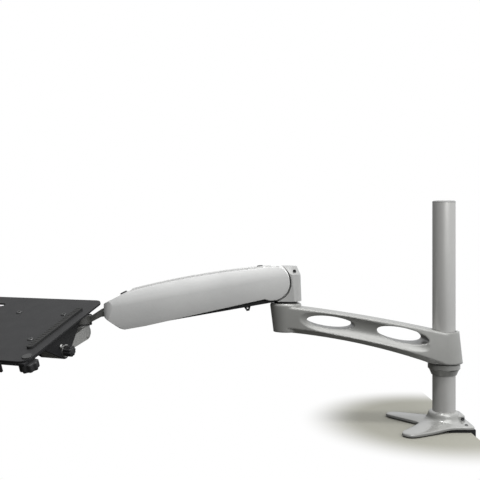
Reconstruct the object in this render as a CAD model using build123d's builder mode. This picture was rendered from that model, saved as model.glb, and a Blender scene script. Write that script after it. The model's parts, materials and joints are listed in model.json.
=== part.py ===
import os
from math import cos, radians, sin

from build123d import *

os.makedirs("parts", exist_ok=True)

# All lengths are millimetres. The origin lies on the pole's axis at the desk's top face,
# +Z is up, and both arms reach out along -X.

# Fits between pieces
running_fit = 0.05
thread_fit = 0.05
bolt_fit = 0.3
part_gap = 0.5
washer_gap = 0.1
thread_end = 0.5

# Foot and pole
pad_thickness = 1.5
flange_thickness = 4.0
pad_margin = 5.0
plate_thickness = 5.5
plate_edge = 2.0
toe_reach = 73.0
toe_spread = 63.0
toe_tip = 47.0
toe_bevel = 14.0
toe_shoulder = 33.0
plan_round = 8.0
heel_round = 3.0
notch_reach = 34.0
rear_reach = 34.0
rear_half_width = 35.0
slope_height = 10.5
slope_share = 0.36
boss_radius = 22.0
boss_flare = 3.0
boss_top = 23.0
block_reach = 28.0
block_half_width = 17.0
block_top = 19.0
block_round = 4.0
block_taper = 6.0
boss_edge = 2.5
socket_depth = 9.0
pole_radius = 16.0
pole_wall = 2.5
pole_top = 319.0
cap_thickness = 3.0
cap_skirt = 12.0
cap_skirt_wall = 2.0
cap_edge = 1.2
plug_height = 22.0
pole_bolt_radius = 4.0
pole_bolt_head_radius = 7.0
pole_bolt_head = 5.0
pole_bolt_short = 4.0
hex_size = 0.8
hex_depth = 0.6

# Desk clamp
bracket_front = -2.0
bracket_wall = 6.0
bracket_half_width = 33.0
jaw_half_width = 19.0
jaw_depth = 84.0
jaw_front = -26.0
jaw_boss_radius = 11.0
jaw_boss_height = 10.0
bracket_screw_radius = 2.5
bracket_screw_head = 4.6
bracket_screw_grip = 5.0
bracket_screw_cone = 0.6
bracket_screw_inset = 7.0
bracket_screw_front = 10.0
bracket_screw_rear = 8.0
drive_radius = 1.4
drive_depth = 1.5
clamp_screw_x = -4.0
clamp_screw_radius = 5.0
clamp_tip_radius = 3.5
clamp_tip_length = 6.0
desk_thickness = 28.0
rubber_thickness = 2.0
clamp_pad_radius = 20.0
clamp_pad_thickness = 4.0
clamp_socket_radius = 8.0
clamp_socket_height = 9.0
clamp_screw_length = 105.0
clamp_knob_radius = 20.0
clamp_knob_height = 24.0
clamp_knob_lobes = 6
clamp_lobe_radius = 6.0
clamp_knob_floor = 3.0
clamp_knob_edge = 2.0
rubber_margin = 0.5
rubber_edge = 0.8
bracket_bend = 5.0

# Height collar
collar_top = 90.5
collar_height = 16.0
collar_band = 7.0
collar_radius = 22.4
collar_lip = 1.5
collar_bevel = 2.0
collar_edge = 1.0
collar_screw_radius = 3.0
collar_screw_stand = 0.4
collar_hex_depth = 2.5
thrust_washer_thickness = 1.5
thrust_washer_margin = 1.0

# Lower arm
hub_height = 44.0
hub_top_radius = 21.0
hub_bottom_radius = 25.7
hub_bush_wall = 1.2
hub_bush_length = 15.0
arm_half_width = 20.5
elbow_x = -226.0
elbow_rise = 43.8
elbow_height = 40.7
elbow_top_radius = 22.7
elbow_bottom_radius = 17.5
arm_top_drop = 3.5
arm_top_bulge = 3.0
arm_bottom_bulge = 6.5
arm_reserve = 12.0
arm_undercut = 7.0
scoop_depth = 7.0
scoop_start = 0.07
scoop_end = 0.94
scoop_stations = 13
scoop_fullness = 0.75
scoop_radius = 19.0
scoop_flat_radius = 30.0
scoop_end_gap = 0.8
scoop_lift = 0.8
elbow_edge = 3.0
arm_edge = 2.5
hub_overlap = 1.0
oval_half_lengths = (34.0, 36.8)
oval_heights = (8.9, 10.5)
oval_fractions = (0.726, 0.279)
oval_rises = (5.6, 6.8)
oval_tilts = (-8.0, -13.0)
elbow_shaft_radius = 8.0
elbow_thread_radius = 6.0
elbow_bush_wall = 3.0
elbow_bush_length = 14.0
elbow_recess_radius = 14.0
elbow_recess = 11.0
elbow_nut_height = 6.0
elbow_cap_thickness = 3.0
elbow_nut_gap = 0.2
elbow_nut_margin = 2.5
shaft_end_gap = 0.6

# Knuckle above the elbow
elbow_washer_thickness = 3.0
elbow_washer_radius = 16.8
lift_offset = 20.7
lift_rise = 26.5
shaft_sink = 3.0
knuckle_rise = 23.0
knuckle_radius = 22.4
shoulder_rise = 11.0
knuckle_shoulder_radius = 21.0
knuckle_top_radius = 15.5
knuckle_flat = 19.5
shell_round = 25.0
knuckle_gap = 2.5
tongue_half_width = 12.0
tongue_slot = 6.0
tongue_radius = 13.0
tongue_root = (4.0, -8.0)
slot_skin = 2.0
link_offset = 21.0
anchor_offset = 10.0
lift_pin_radius = 5.0
link_pin_radius = 3.5
anchor_pin_radius = 3.5
knuckle_screw_radius = 2.5
knuckle_screw_drop = 7.0
knuckle_screw_start = 7.0
knuckle_screw_length = 7.5
knuckle_hex_depth = 2.0

# Upper spring arm
arm_length = 214.0
arm_pitch = 10.0
shell_half_width = 22.0
shell_wall = 4.5
shell_side_wall = 7.2
crown_rise = 22.0
shell_bulge = 4.5
barrel_top = 13.5
barrel_top_level = 28.0
barrel_level = 6.0
barrel_base = 16.6
barrel_base_level = 29.0
core_rise = 6.0
peak_round = 50.0
brow_round = 5.0
chin_round = 11.0
base_round = 22.0
nose_plan_round = 16.0
peak_offset = (7.15, 24.66)
brow_offset = (-26.5, 7.0)
chin_offset = (-27.5, -9.5)
base_offset = (2.5, -30.5)
hem_offset = (-4.5, -21.8)
hollow_start = 4.0
shell_boss_radius = 8.5
nose_slot = 13.0
nose_slot_depth = 20.0
link_slot = 15.2
link_slot_drop = 6.0
pin_skin = 2.0
head_pin_radius = 4.0
washer_radius = 8.0
strip_half_width = 12.0
strip_rise = 2.0
strip_sink = 1.2
strip_rear_gap = 1.0
strip_nose_gap = 6.3
strip_slot_length = 7.0
strip_slot_width = 3.0
link_half_width = 14.2
link_wall = 1.8
link_rise = 3.0
link_drop = 7.0
link_ear = 7.0
link_floor_gap = 13.0
spring_lead = 1.0
spring_edge = 1.5
eye_neck = 4.0
spring_radius = 9.0
spring_start = 45.0
spring_length = 108.0
spring_pin_along = 165.0
spring_pin_radius = 3.0
rod_radius = 4.0
rod_inside = 45.0
eye_radius = 8.0
eye_hole = 5.2
eye_skin = 1.0
eye_side_gap = 1.0
clip_along = 36.0
clip_length = 10.0
clip_height = 6.5
clip_half_width = 6.0
clip_taper = 0.2

# Head: neck, pan barrel and tilt head
pan_reach = 61.5
neck_root_top = 8.0
neck_root_bottom = 9.0
head_ear = 10.0
neck_half_width = 7.5
neck_drop = 0.8
neck_height = 11.0
knee_reach = 30.5
knee_run = 4.0
pan_drop = 10.8
pan_height = 11.0
pan_end_radius = 12.0
pan_cover_radius = 16.5
pan_cover_roof = 1.4
pan_cover_edge = 1.2
pan_cover_slot = 0.2
pan_washer_thickness = 2.0
pan_bolt_radius = 5.0
pan_bolt_head_radius = 8.0
pan_bolt_head = 6.0
pan_bolt_sink = 1.0
barrel_radius = 12.6
barrel_height = 21.5
reach_root = 2.0
reach_skin = 1.0
reach_end = 6.5
barrel_round = 5.0
tilt_reach = 62.0
tilt_drop = 5.0
tilt_arm_half_width = 12.0
tilt_knuckle_radius = 11.0
tilt_knuckle_half = 14.0
tilt_bolt_radius = 4.0
tilt_nut_radius = 7.5
tilt_nut_height = 5.0
tilt_bolt_end = 2.0
tilt_knob_radius = 7.5
tilt_knob_length = 11.0
tilt_knob_lobes = 5
tilt_knob_cover = 3.0
tilt_ring_margin = 1.0
tilt_washer_thickness = 1.2

# Holder: tray, its bracket and the front stop, turned and tilted with the head
tray_yaw = 20.6
tray_tilt = 18.9
gusset_thickness = 3.0
gusset_front = 42.0
gusset_rear = 46.0
gusset_gap = 0.8
gusset_rim = 4.0
guard_spot = (-7.0, 10.0)
guard_radius = 2.2
plate_level = 28.0
bracket_plate = 3.0
bracket_left = -100.0
tray_thickness = 2.5
tray_left = -210.0
tray_right = 30.0
tray_front = -91.0
tray_rear = 90.0
tray_corner = 12.0
tray_flange = 9.0
tray_screw_pitch = 75.0
tray_screw_radius = 2.0
tray_screw_head = 4.0
tray_screw_head_height = 1.5
tray_pad_height = 3.5
tray_pad_width = 9.0
tray_pad_length = 120.0
tray_pad_edge = 1.0
vent_count = 7
vent_pitch = 21.0
vent_length = 66.0
vent_width = 9.0
stop_thickness = 3.0
stop_depth = 46.0
stop_travel = 25.0
stop_lip_height = 13.0
stop_lip_width = 34.0
stop_lip_spread = 50.0
stop_side_gap = 2.0
stop_slot_play = 0.5
stop_gap = 0.3
stop_knob_inset = 6.2
stop_knob_setback = 12.0
stop_knob_radius = 12.0
stop_knob_height = 11.0
stop_knob_lobes = 6
stop_screw_radius = 3.0


def finish(builder, name):
    builder.part.label = name
    export_step(builder.part, f"parts/{name}.step")


# Foot: plate with two toes that rises in slopes to the pole boss, and a rear block
foot_bottom = pad_thickness
foot_top = foot_bottom + plate_thickness
pole_bottom = boss_top - socket_depth
pole_bolt_seat = flange_thickness + pole_bolt_head
foot_half = [
    (rear_reach, 0),
    (rear_reach, -rear_half_width),
    (0, -toe_shoulder),
    (-toe_reach + toe_bevel, -toe_spread),
    (-toe_reach, -toe_tip),
    (-notch_reach, 0),
]
with BuildSketch() as foot_plan:
    with BuildLine():
        Polyline(foot_half, close=True)
    make_face()
    mirror(about=Plane.XZ)
    plan_corners = foot_plan.vertices().filter_by(lambda v: v.X < rear_reach - 1)
    fillet(plan_corners, radius=plan_round)
    fillet(foot_plan.vertices().group_by(Axis.X)[-1], radius=heel_round)

bracket_screw_spots = [
    (bracket_front + bracket_screw_front, -bracket_half_width + bracket_screw_inset),
    (bracket_front + bracket_screw_front, bracket_half_width - bracket_screw_inset),
    (rear_reach - bracket_screw_rear, -bracket_half_width + bracket_screw_inset),
    (rear_reach - bracket_screw_rear, bracket_half_width - bracket_screw_inset),
]
bracket_screw_length = flange_thickness + bracket_screw_grip
with BuildSketch() as slope_plan:
    offset(foot_plan.sketch, amount=-plate_edge)

with BuildPart() as base_foot:
    with BuildSketch(Plane.XY.offset(foot_bottom)):
        add(foot_plan.sketch)
    extrude(amount=plate_thickness)
    fillet(base_foot.faces().sort_by(Axis.Z)[-1].edges(), radius=plate_edge)
    with BuildSketch(Plane.XY.offset(foot_top)):
        add(slope_plan.sketch)
    with BuildSketch(Plane.XY.offset(foot_top + slope_height)):
        add(scale(slope_plan.sketch, by=slope_share, mode=Mode.PRIVATE))
    loft(ruled=True)
    with BuildSketch(Plane.XY.offset(foot_top - plate_edge)):
        Circle(boss_radius + boss_flare)
    with BuildSketch(Plane.XY.offset(boss_top)):
        Circle(boss_radius)
    loft()
    with BuildSketch(Plane.XY.offset(foot_top - plate_edge)):
        with Locations((block_reach / 2, 0)):
            RectangleRounded(block_reach, 2 * block_half_width, block_round)
    extrude(amount=block_top - foot_top + plate_edge, taper=block_taper)
    fillet(base_foot.faces().sort_by(Axis.Z)[-1].edges(), radius=boss_edge)
    with BuildSketch(Plane.XY.offset(pole_bottom)):
        Circle(pole_radius + running_fit)
    extrude(amount=boss_top, mode=Mode.SUBTRACT)
    with BuildSketch(Plane.XY):
        Circle(pole_bolt_radius + bolt_fit)
    extrude(amount=boss_top, mode=Mode.SUBTRACT)
    with BuildSketch(Plane.XY):
        Circle(pole_bolt_head_radius + bolt_fit)
    extrude(amount=pole_bolt_seat, mode=Mode.SUBTRACT)
    with BuildSketch(Plane.XY):
        with Locations(bracket_screw_spots):
            Circle(bracket_screw_radius + thread_fit)
    extrude(amount=bracket_screw_length + thread_end, mode=Mode.SUBTRACT)
    with BuildSketch(Plane.XY):
        with Locations((bracket_front - part_gap, 0)):
            Rectangle(2 * toe_reach, 3 * toe_spread, align=(Align.MIN, Align.CENTER))
    extrude(amount=flange_thickness, mode=Mode.SUBTRACT)
finish(base_foot, "base_foot")

# Black pad under the toes, in front of the clamp bracket
with BuildPart() as foot_pad:
    with BuildSketch():
        offset(foot_plan.sketch, amount=-pad_margin)
        with Locations((bracket_front - part_gap, 0)):
            Rectangle(2 * toe_reach, 3 * toe_spread, align=(Align.MIN, Align.CENTER), mode=Mode.SUBTRACT)
    extrude(amount=pad_thickness)
finish(foot_pad, "foot_pad")

# Pole tube, its top cap and the threaded plug in its foot
with BuildPart() as pole:
    with BuildSketch(Plane.XY.offset(pole_bottom)):
        Circle(pole_radius)
        Circle(pole_radius - pole_wall, mode=Mode.SUBTRACT)
    extrude(amount=pole_top - pole_bottom)
finish(pole, "pole")

pole_inside = pole_radius - pole_wall - running_fit
with BuildPart() as pole_cap:
    with BuildSketch(Plane.XY.offset(pole_top)):
        Circle(pole_radius)
    extrude(amount=cap_thickness)
    fillet(pole_cap.edges().sort_by(Axis.Z)[-1], radius=cap_edge)
    with BuildSketch(Plane.XY.offset(pole_top)):
        Circle(pole_inside)
        Circle(pole_inside - cap_skirt_wall, mode=Mode.SUBTRACT)
    extrude(amount=-cap_skirt)
finish(pole_cap, "pole_cap")

with BuildPart() as pole_plug:
    with BuildSketch(Plane.XY.offset(pole_bottom)):
        Circle(pole_inside)
        Circle(pole_bolt_radius + thread_fit, mode=Mode.SUBTRACT)
    extrude(amount=plug_height)
finish(pole_plug, "pole_plug")

with BuildPart() as pole_bolt:
    with BuildSketch(Plane.XY.offset(pole_bolt_seat)):
        Circle(pole_bolt_radius)
    extrude(amount=pole_bottom + plug_height - pole_bolt_short - pole_bolt_seat)
    with BuildSketch(Plane.XY.offset(pole_bolt_seat)):
        Circle(pole_bolt_head_radius)
    extrude(amount=-pole_bolt_head)
    with BuildSketch(Plane.XY.offset(flange_thickness)):
        RegularPolygon(radius=pole_bolt_radius * hex_size, side_count=6)
    extrude(amount=pole_bolt_head * hex_depth, mode=Mode.SUBTRACT)
finish(pole_bolt, "pole_bolt")

# Steel C bracket: flange under the foot, leg behind the desk edge, jaw below the desk
bracket_back = rear_reach
leg_front = bracket_back - bracket_wall
screw_cone = flange_thickness * bracket_screw_cone
with BuildPart() as clamp_bracket:
    with BuildSketch(Plane.XZ):
        with BuildLine():
            Polyline(
                (bracket_front, flange_thickness),
                (bracket_back, flange_thickness),
                (bracket_back, -jaw_depth),
                (jaw_front, -jaw_depth),
                (jaw_front, -jaw_depth + bracket_wall),
                (leg_front, -jaw_depth + bracket_wall),
                (leg_front, 0),
                (bracket_front, 0),
                close=True,
            )
        make_face()
    extrude(amount=bracket_half_width, both=True)
    with BuildSketch(Plane.YZ):
        with BuildLine():
            Polyline(
                (jaw_half_width, -jaw_depth - 1),
                (jaw_half_width, -jaw_depth * 0.45),
                (bracket_half_width, -jaw_depth * 0.15),
                (bracket_half_width + 1, -jaw_depth * 0.15),
                (bracket_half_width + 1, -jaw_depth - 1),
                close=True,
            )
        make_face()
        mirror(about=Plane.YZ)
    extrude(amount=2 * toe_reach, both=True, mode=Mode.SUBTRACT)
    level_edges = clamp_bracket.edges().filter_by(Axis.Y)
    heel_edge = level_edges.filter_by(lambda e: e.center().Z < 0).sort_by(Axis.X)[-1]
    fillet(heel_edge, radius=bracket_bend)
    with BuildSketch(Plane.XY.offset(-jaw_depth)):
        with Locations((clamp_screw_x, 0)):
            Circle(jaw_boss_radius)
    extrude(amount=bracket_wall + jaw_boss_height)
    with BuildSketch(Plane.XY.offset(-jaw_depth)):
        with Locations((clamp_screw_x, 0)):
            Circle(clamp_screw_radius + thread_fit)
    extrude(amount=bracket_wall + jaw_boss_height, mode=Mode.SUBTRACT)
    with Locations([(x, y, 0) for x, y in bracket_screw_spots]):
        Cone(bracket_screw_head + bolt_fit, bracket_screw_radius + bolt_fit, screw_cone,
             align=(Align.CENTER, Align.CENTER, Align.MIN), mode=Mode.SUBTRACT)
        Cylinder(bracket_screw_radius + bolt_fit, 2 * flange_thickness, mode=Mode.SUBTRACT)
finish(clamp_bracket, "clamp_bracket")

with BuildPart() as bracket_screws:
    with Locations([(x, y, 0) for x, y in bracket_screw_spots]):
        Cone(bracket_screw_head, bracket_screw_radius, screw_cone,
             align=(Align.CENTER, Align.CENTER, Align.MIN))
        Cylinder(bracket_screw_radius, bracket_screw_length, align=(Align.CENTER, Align.CENTER, Align.MIN))
        Cylinder(drive_radius, 2 * drive_depth, mode=Mode.SUBTRACT)
finish(bracket_screws, "bracket_screws")

# Clamp pad under the desk, with its rubber, and the screw with its knob
rubber_top = -desk_thickness
pad_top = rubber_top - rubber_thickness
pad_bottom = pad_top - clamp_pad_thickness
socket_bottom = pad_bottom - clamp_socket_height
with BuildPart() as clamp_pad:
    with BuildSketch(Plane.XY.offset(pad_bottom)):
        with Locations((clamp_screw_x, 0)):
            Circle(clamp_pad_radius)
    extrude(amount=clamp_pad_thickness)
    with BuildSketch(Plane.XY.offset(socket_bottom)):
        with Locations((clamp_screw_x, 0)):
            Circle(clamp_socket_radius)
    extrude(amount=clamp_socket_height)
    with BuildSketch(Plane.XY.offset(socket_bottom)):
        with Locations((clamp_screw_x, 0)):
            Circle(clamp_tip_radius + running_fit)
    extrude(amount=clamp_tip_length + running_fit, mode=Mode.SUBTRACT)
finish(clamp_pad, "clamp_pad")

with BuildPart() as clamp_rubber:
    with BuildSketch(Plane.XY.offset(pad_top)):
        with Locations((clamp_screw_x, 0)):
            Circle(clamp_pad_radius - rubber_margin)
    extrude(amount=rubber_thickness)
    fillet(clamp_rubber.edges().sort_by(Axis.Z)[-1], radius=rubber_edge)
finish(clamp_rubber, "clamp_rubber")

screw_end = socket_bottom - clamp_screw_length
with BuildPart() as clamp_screw:
    with BuildSketch(Plane.XY.offset(screw_end)):
        with Locations((clamp_screw_x, 0)):
            Circle(clamp_screw_radius)
    extrude(amount=clamp_screw_length)
    with BuildSketch(Plane.XY.offset(socket_bottom)):
        with Locations((clamp_screw_x, 0)):
            Circle(clamp_tip_radius)
    extrude(amount=clamp_tip_length)
finish(clamp_screw, "clamp_screw")

knob_bottom = screw_end - clamp_knob_floor
with BuildPart() as clamp_knob:
    with BuildSketch(Plane.XY.offset(knob_bottom)):
        with Locations((clamp_screw_x, 0)):
            Circle(clamp_knob_radius - clamp_lobe_radius * 0.6)
            with PolarLocations(clamp_knob_radius - clamp_lobe_radius, clamp_knob_lobes):
                Circle(clamp_lobe_radius)
    extrude(amount=clamp_knob_height)
    fillet(clamp_knob.edges().group_by(Axis.Z)[0], radius=clamp_knob_edge)
    with BuildSketch(Plane.XY.offset(screw_end)):
        with Locations((clamp_screw_x, 0)):
            Circle(clamp_screw_radius + thread_fit)
    extrude(amount=clamp_knob_height, mode=Mode.SUBTRACT)
finish(clamp_knob, "clamp_knob")

# Height collar on the pole, its lock screw and the washer that the arm turns on
collar_bottom = collar_top - collar_height
collar_screw_z = collar_top - collar_band / 2
with BuildPart() as height_collar:
    with BuildSketch(Plane.XZ):
        with BuildLine():
            Polyline(
                (pole_radius + running_fit, collar_bottom),
                (pole_radius + collar_lip, collar_bottom),
                (collar_radius - collar_bevel, collar_top - collar_band - collar_bevel),
                (collar_radius, collar_top - collar_band),
                (collar_radius, collar_top - collar_edge),
                (collar_radius - collar_edge, collar_top),
                (pole_radius + running_fit, collar_top),
                close=True,
            )
        make_face()
    revolve(axis=Axis.Z)
    with Locations(Plane((0, 2 * collar_radius, collar_screw_z), z_dir=(0, 1, 0))):
        Hole(collar_screw_radius + thread_fit, depth=2 * collar_radius)
finish(height_collar, "height_collar")

with BuildPart() as collar_screw:
    with BuildSketch(Plane((0, pole_radius + collar_screw_stand, collar_screw_z), z_dir=(0, 1, 0))):
        Circle(collar_screw_radius)
    extrude(amount=collar_radius - pole_radius)
    with BuildSketch(Plane((0, collar_radius + collar_screw_stand, collar_screw_z), z_dir=(0, 1, 0))):
        RegularPolygon(radius=collar_screw_radius * hex_size, side_count=6)
    extrude(amount=-collar_hex_depth, mode=Mode.SUBTRACT)
finish(collar_screw, "collar_screw")

hub_bottom = collar_top + thrust_washer_thickness
hub_top = hub_bottom + hub_height
elbow_bottom = hub_bottom + elbow_rise
elbow_top = elbow_bottom + elbow_height
with BuildPart() as thrust_washer:
    with BuildSketch(Plane.XY.offset(collar_top)):
        Circle(collar_radius - thrust_washer_margin)
        Circle(pole_radius + running_fit, mode=Mode.SUBTRACT)
    extrude(amount=thrust_washer_thickness - running_fit)
finish(thrust_washer, "thrust_washer")

# Lower arm: arched casting between hub and elbow, scooped on both sides
hub_bore = pole_radius + running_fit + hub_bush_wall
hub_middle = (hub_bottom + hub_top) / 2
elbow_middle = (elbow_bottom + elbow_top) / 2
oval_spots = [
    (elbow_x * fraction, hub_middle + (elbow_middle - hub_middle) * fraction + rise)
    for fraction, rise in zip(oval_fractions, oval_rises)
]
arm_bottom_start = (elbow_x, elbow_bottom)
arm_bottom_end = (-hub_top_radius, hub_bottom)
arm_bottom_mid = (
    (arm_bottom_start[0] + arm_bottom_end[0]) / 2,
    (arm_bottom_start[1] + arm_bottom_end[1]) / 2 + arm_bottom_bulge,
)
arm_top_start = (elbow_x, elbow_top - arm_top_drop)
arm_top_end = (0, hub_top - hub_overlap)
arm_top_mid = (
    (arm_top_start[0] + arm_top_end[0]) / 2,
    (arm_top_start[1] + arm_top_end[1]) / 2 + arm_top_bulge,
)
with BuildSketch() as arm_side:
    with BuildLine():
        ThreePointArc(arm_top_start, arm_top_mid, arm_top_end)
        Line(arm_top_end, (0, hub_bottom))
        Line((0, hub_bottom), arm_bottom_end)
        ThreePointArc(arm_bottom_end, arm_bottom_mid, arm_bottom_start)
        Line(arm_bottom_start, arm_top_start)
    make_face()

# The slab between the two round ends keeps to their flare
elbow_flare = (elbow_top_radius - elbow_bottom_radius) / elbow_height * arm_reserve
hub_flare = (hub_top_radius - hub_bottom_radius) / hub_height * arm_reserve
elbow_section = [
    (0, elbow_bottom - arm_reserve),
    (elbow_bottom_radius - elbow_flare, elbow_bottom - arm_reserve),
    (elbow_top_radius + elbow_flare, elbow_top + arm_reserve),
    (0, elbow_top + arm_reserve),
]
hub_section = [
    (0, hub_bottom - arm_reserve),
    (hub_bottom_radius - hub_flare, hub_bottom - arm_reserve),
    (hub_top_radius + hub_flare, hub_top + arm_reserve),
    (0, hub_top + arm_reserve),
]

# Hollow of one side: rings along the arm whose depth fades out at both ends
top_rim = Edge.make_three_point_arc(arm_top_start, arm_top_mid, arm_top_end)
lower_rim = Edge.make_three_point_arc(arm_bottom_start, arm_bottom_mid, arm_bottom_end)
elbow_width = (elbow_top_radius + elbow_bottom_radius) / 2
hub_width = (hub_top_radius + hub_bottom_radius) / 2
with BuildPart() as side_scoop:
    for station in range(scoop_stations):
        share = station / (scoop_stations - 1)
        spot = scoop_start + (scoop_end - scoop_start) * share
        middle = (top_rim @ spot + lower_rim @ spot) / 2
        arm_width = hub_width + (elbow_width - hub_width) * middle.X / elbow_x
        fade = abs(sin(radians(180 * share))) ** scoop_fullness
        ring_depth = (scoop_depth + scoop_end_gap) * fade - scoop_end_gap
        ring_radius = scoop_flat_radius + (scoop_radius - scoop_flat_radius) * fade
        with BuildSketch(Plane.YZ.offset(middle.X)):
            with Locations((arm_width + ring_radius - ring_depth, middle.Y + scoop_lift)):
                Circle(ring_radius)
    loft()

with BuildPart() as lower_arm:
    with BuildSketch(Plane.YZ.offset(elbow_x)):
        with BuildLine():
            Polyline(elbow_section, close=True)
        make_face()
        mirror(about=Plane.YZ)
    with BuildSketch(Plane.YZ):
        with BuildLine():
            Polyline(hub_section, close=True)
        make_face()
        mirror(about=Plane.YZ)
    loft(ruled=True)
    with BuildSketch(Plane.XZ):
        add(arm_side.sketch)
    extrude(amount=2 * arm_half_width, both=True, mode=Mode.INTERSECT)
    long_edges = lower_arm.edges().filter_by(lambda e: e.length > -elbow_x / 2)
    chamfer(long_edges.sort_by(Axis.Z)[:2], length=arm_undercut)
    fillet(long_edges.sort_by(Axis.Z)[-2:], radius=arm_edge)
    add(side_scoop.part, mode=Mode.SUBTRACT)
    add(mirror(side_scoop.part, about=Plane.XZ, mode=Mode.PRIVATE), mode=Mode.SUBTRACT)
    with BuildSketch(Plane.XY.offset(elbow_bottom)):
        with Locations((elbow_x, 0)):
            Circle(elbow_bottom_radius)
    with BuildSketch(Plane.XY.offset(elbow_top)):
        with Locations((elbow_x, 0)):
            Circle(elbow_top_radius)
    loft()
    fillet(lower_arm.edges().group_by(Axis.Z)[-1], radius=elbow_edge)
    with BuildSketch(Plane.XY.offset(hub_bottom)):
        Circle(hub_bottom_radius)
    with BuildSketch(Plane.XY.offset(hub_top)):
        Circle(hub_top_radius)
    loft()
    for spot, reach, height, tilt in zip(oval_spots, oval_half_lengths, oval_heights, oval_tilts):
        with BuildSketch(Plane.XZ):
            with Locations(spot):
                Ellipse(reach, height, rotation=tilt)
        extrude(amount=2 * arm_half_width, both=True, mode=Mode.SUBTRACT)
    with BuildSketch(Plane.XY.offset(hub_bottom)):
        Circle(hub_bore)
    extrude(amount=hub_top, mode=Mode.SUBTRACT)
    with BuildSketch(Plane.XY.offset(elbow_bottom)):
        with Locations((elbow_x, 0)):
            Circle(elbow_shaft_radius + running_fit + elbow_bush_wall)
    extrude(amount=elbow_top, mode=Mode.SUBTRACT)
    with BuildSketch(Plane.XY.offset(elbow_bottom)):
        with Locations((elbow_x, 0)):
            Circle(elbow_recess_radius)
    extrude(amount=elbow_recess, mode=Mode.SUBTRACT)
finish(lower_arm, "lower_arm")

with BuildPart() as hub_bushes:
    for start in (hub_bottom, hub_top - hub_bush_length):
        with BuildSketch(Plane.XY.offset(start)):
            Circle(hub_bore)
            Circle(pole_radius + running_fit, mode=Mode.SUBTRACT)
        extrude(amount=hub_bush_length)
finish(hub_bushes, "hub_bushes")

recess_roof = elbow_bottom + elbow_recess
with BuildPart() as elbow_bushes:
    for start in (recess_roof, elbow_top - elbow_bush_length):
        with BuildSketch(Plane.XY.offset(start)):
            with Locations((elbow_x, 0)):
                Circle(elbow_shaft_radius + running_fit + elbow_bush_wall)
                Circle(elbow_shaft_radius + running_fit, mode=Mode.SUBTRACT)
        extrude(amount=elbow_bush_length)
finish(elbow_bushes, "elbow_bushes")

with BuildPart() as elbow_cap:
    with BuildSketch(Plane.XY.offset(elbow_bottom)):
        with Locations((elbow_x, 0)):
            Circle(elbow_recess_radius)
    extrude(amount=elbow_cap_thickness)
finish(elbow_cap, "elbow_cap")

# Elbow shaft, carried by the knuckle and held by a nut under the arm
knuckle_bottom = elbow_top + elbow_washer_thickness
lift_x = elbow_x - lift_offset
lift_z = knuckle_bottom + lift_rise
knuckle_shoulder = lift_z + shoulder_rise
knuckle_top = lift_z + knuckle_rise
shaft_top = lift_z - shaft_sink
shaft_end = elbow_bottom + elbow_cap_thickness + shaft_end_gap
nut_top = recess_roof - elbow_nut_gap
with BuildPart() as elbow_shaft:
    with BuildSketch(Plane.XY.offset(nut_top)):
        with Locations((elbow_x, 0)):
            Circle(elbow_shaft_radius)
    extrude(amount=shaft_top - nut_top)
    with BuildSketch(Plane.XY.offset(shaft_end)):
        with Locations((elbow_x, 0)):
            Circle(elbow_thread_radius)
    extrude(amount=nut_top - shaft_end)
finish(elbow_shaft, "elbow_shaft")

with BuildPart() as elbow_nut:
    with BuildSketch(Plane.XY.offset(nut_top - elbow_nut_height)):
        with Locations((elbow_x, 0)):
            RegularPolygon(radius=elbow_recess_radius - elbow_nut_margin, side_count=6)
            Circle(elbow_thread_radius + thread_fit, mode=Mode.SUBTRACT)
    extrude(amount=elbow_nut_height)
finish(elbow_nut, "elbow_nut")

with BuildPart() as elbow_washer:
    with BuildSketch(Plane.XY.offset(elbow_top + running_fit)):
        with Locations((elbow_x, 0)):
            Circle(elbow_washer_radius)
            Circle(elbow_shaft_radius + bolt_fit, mode=Mode.SUBTRACT)
    extrude(amount=elbow_washer_thickness - running_fit)
finish(elbow_washer, "elbow_washer")

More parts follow.
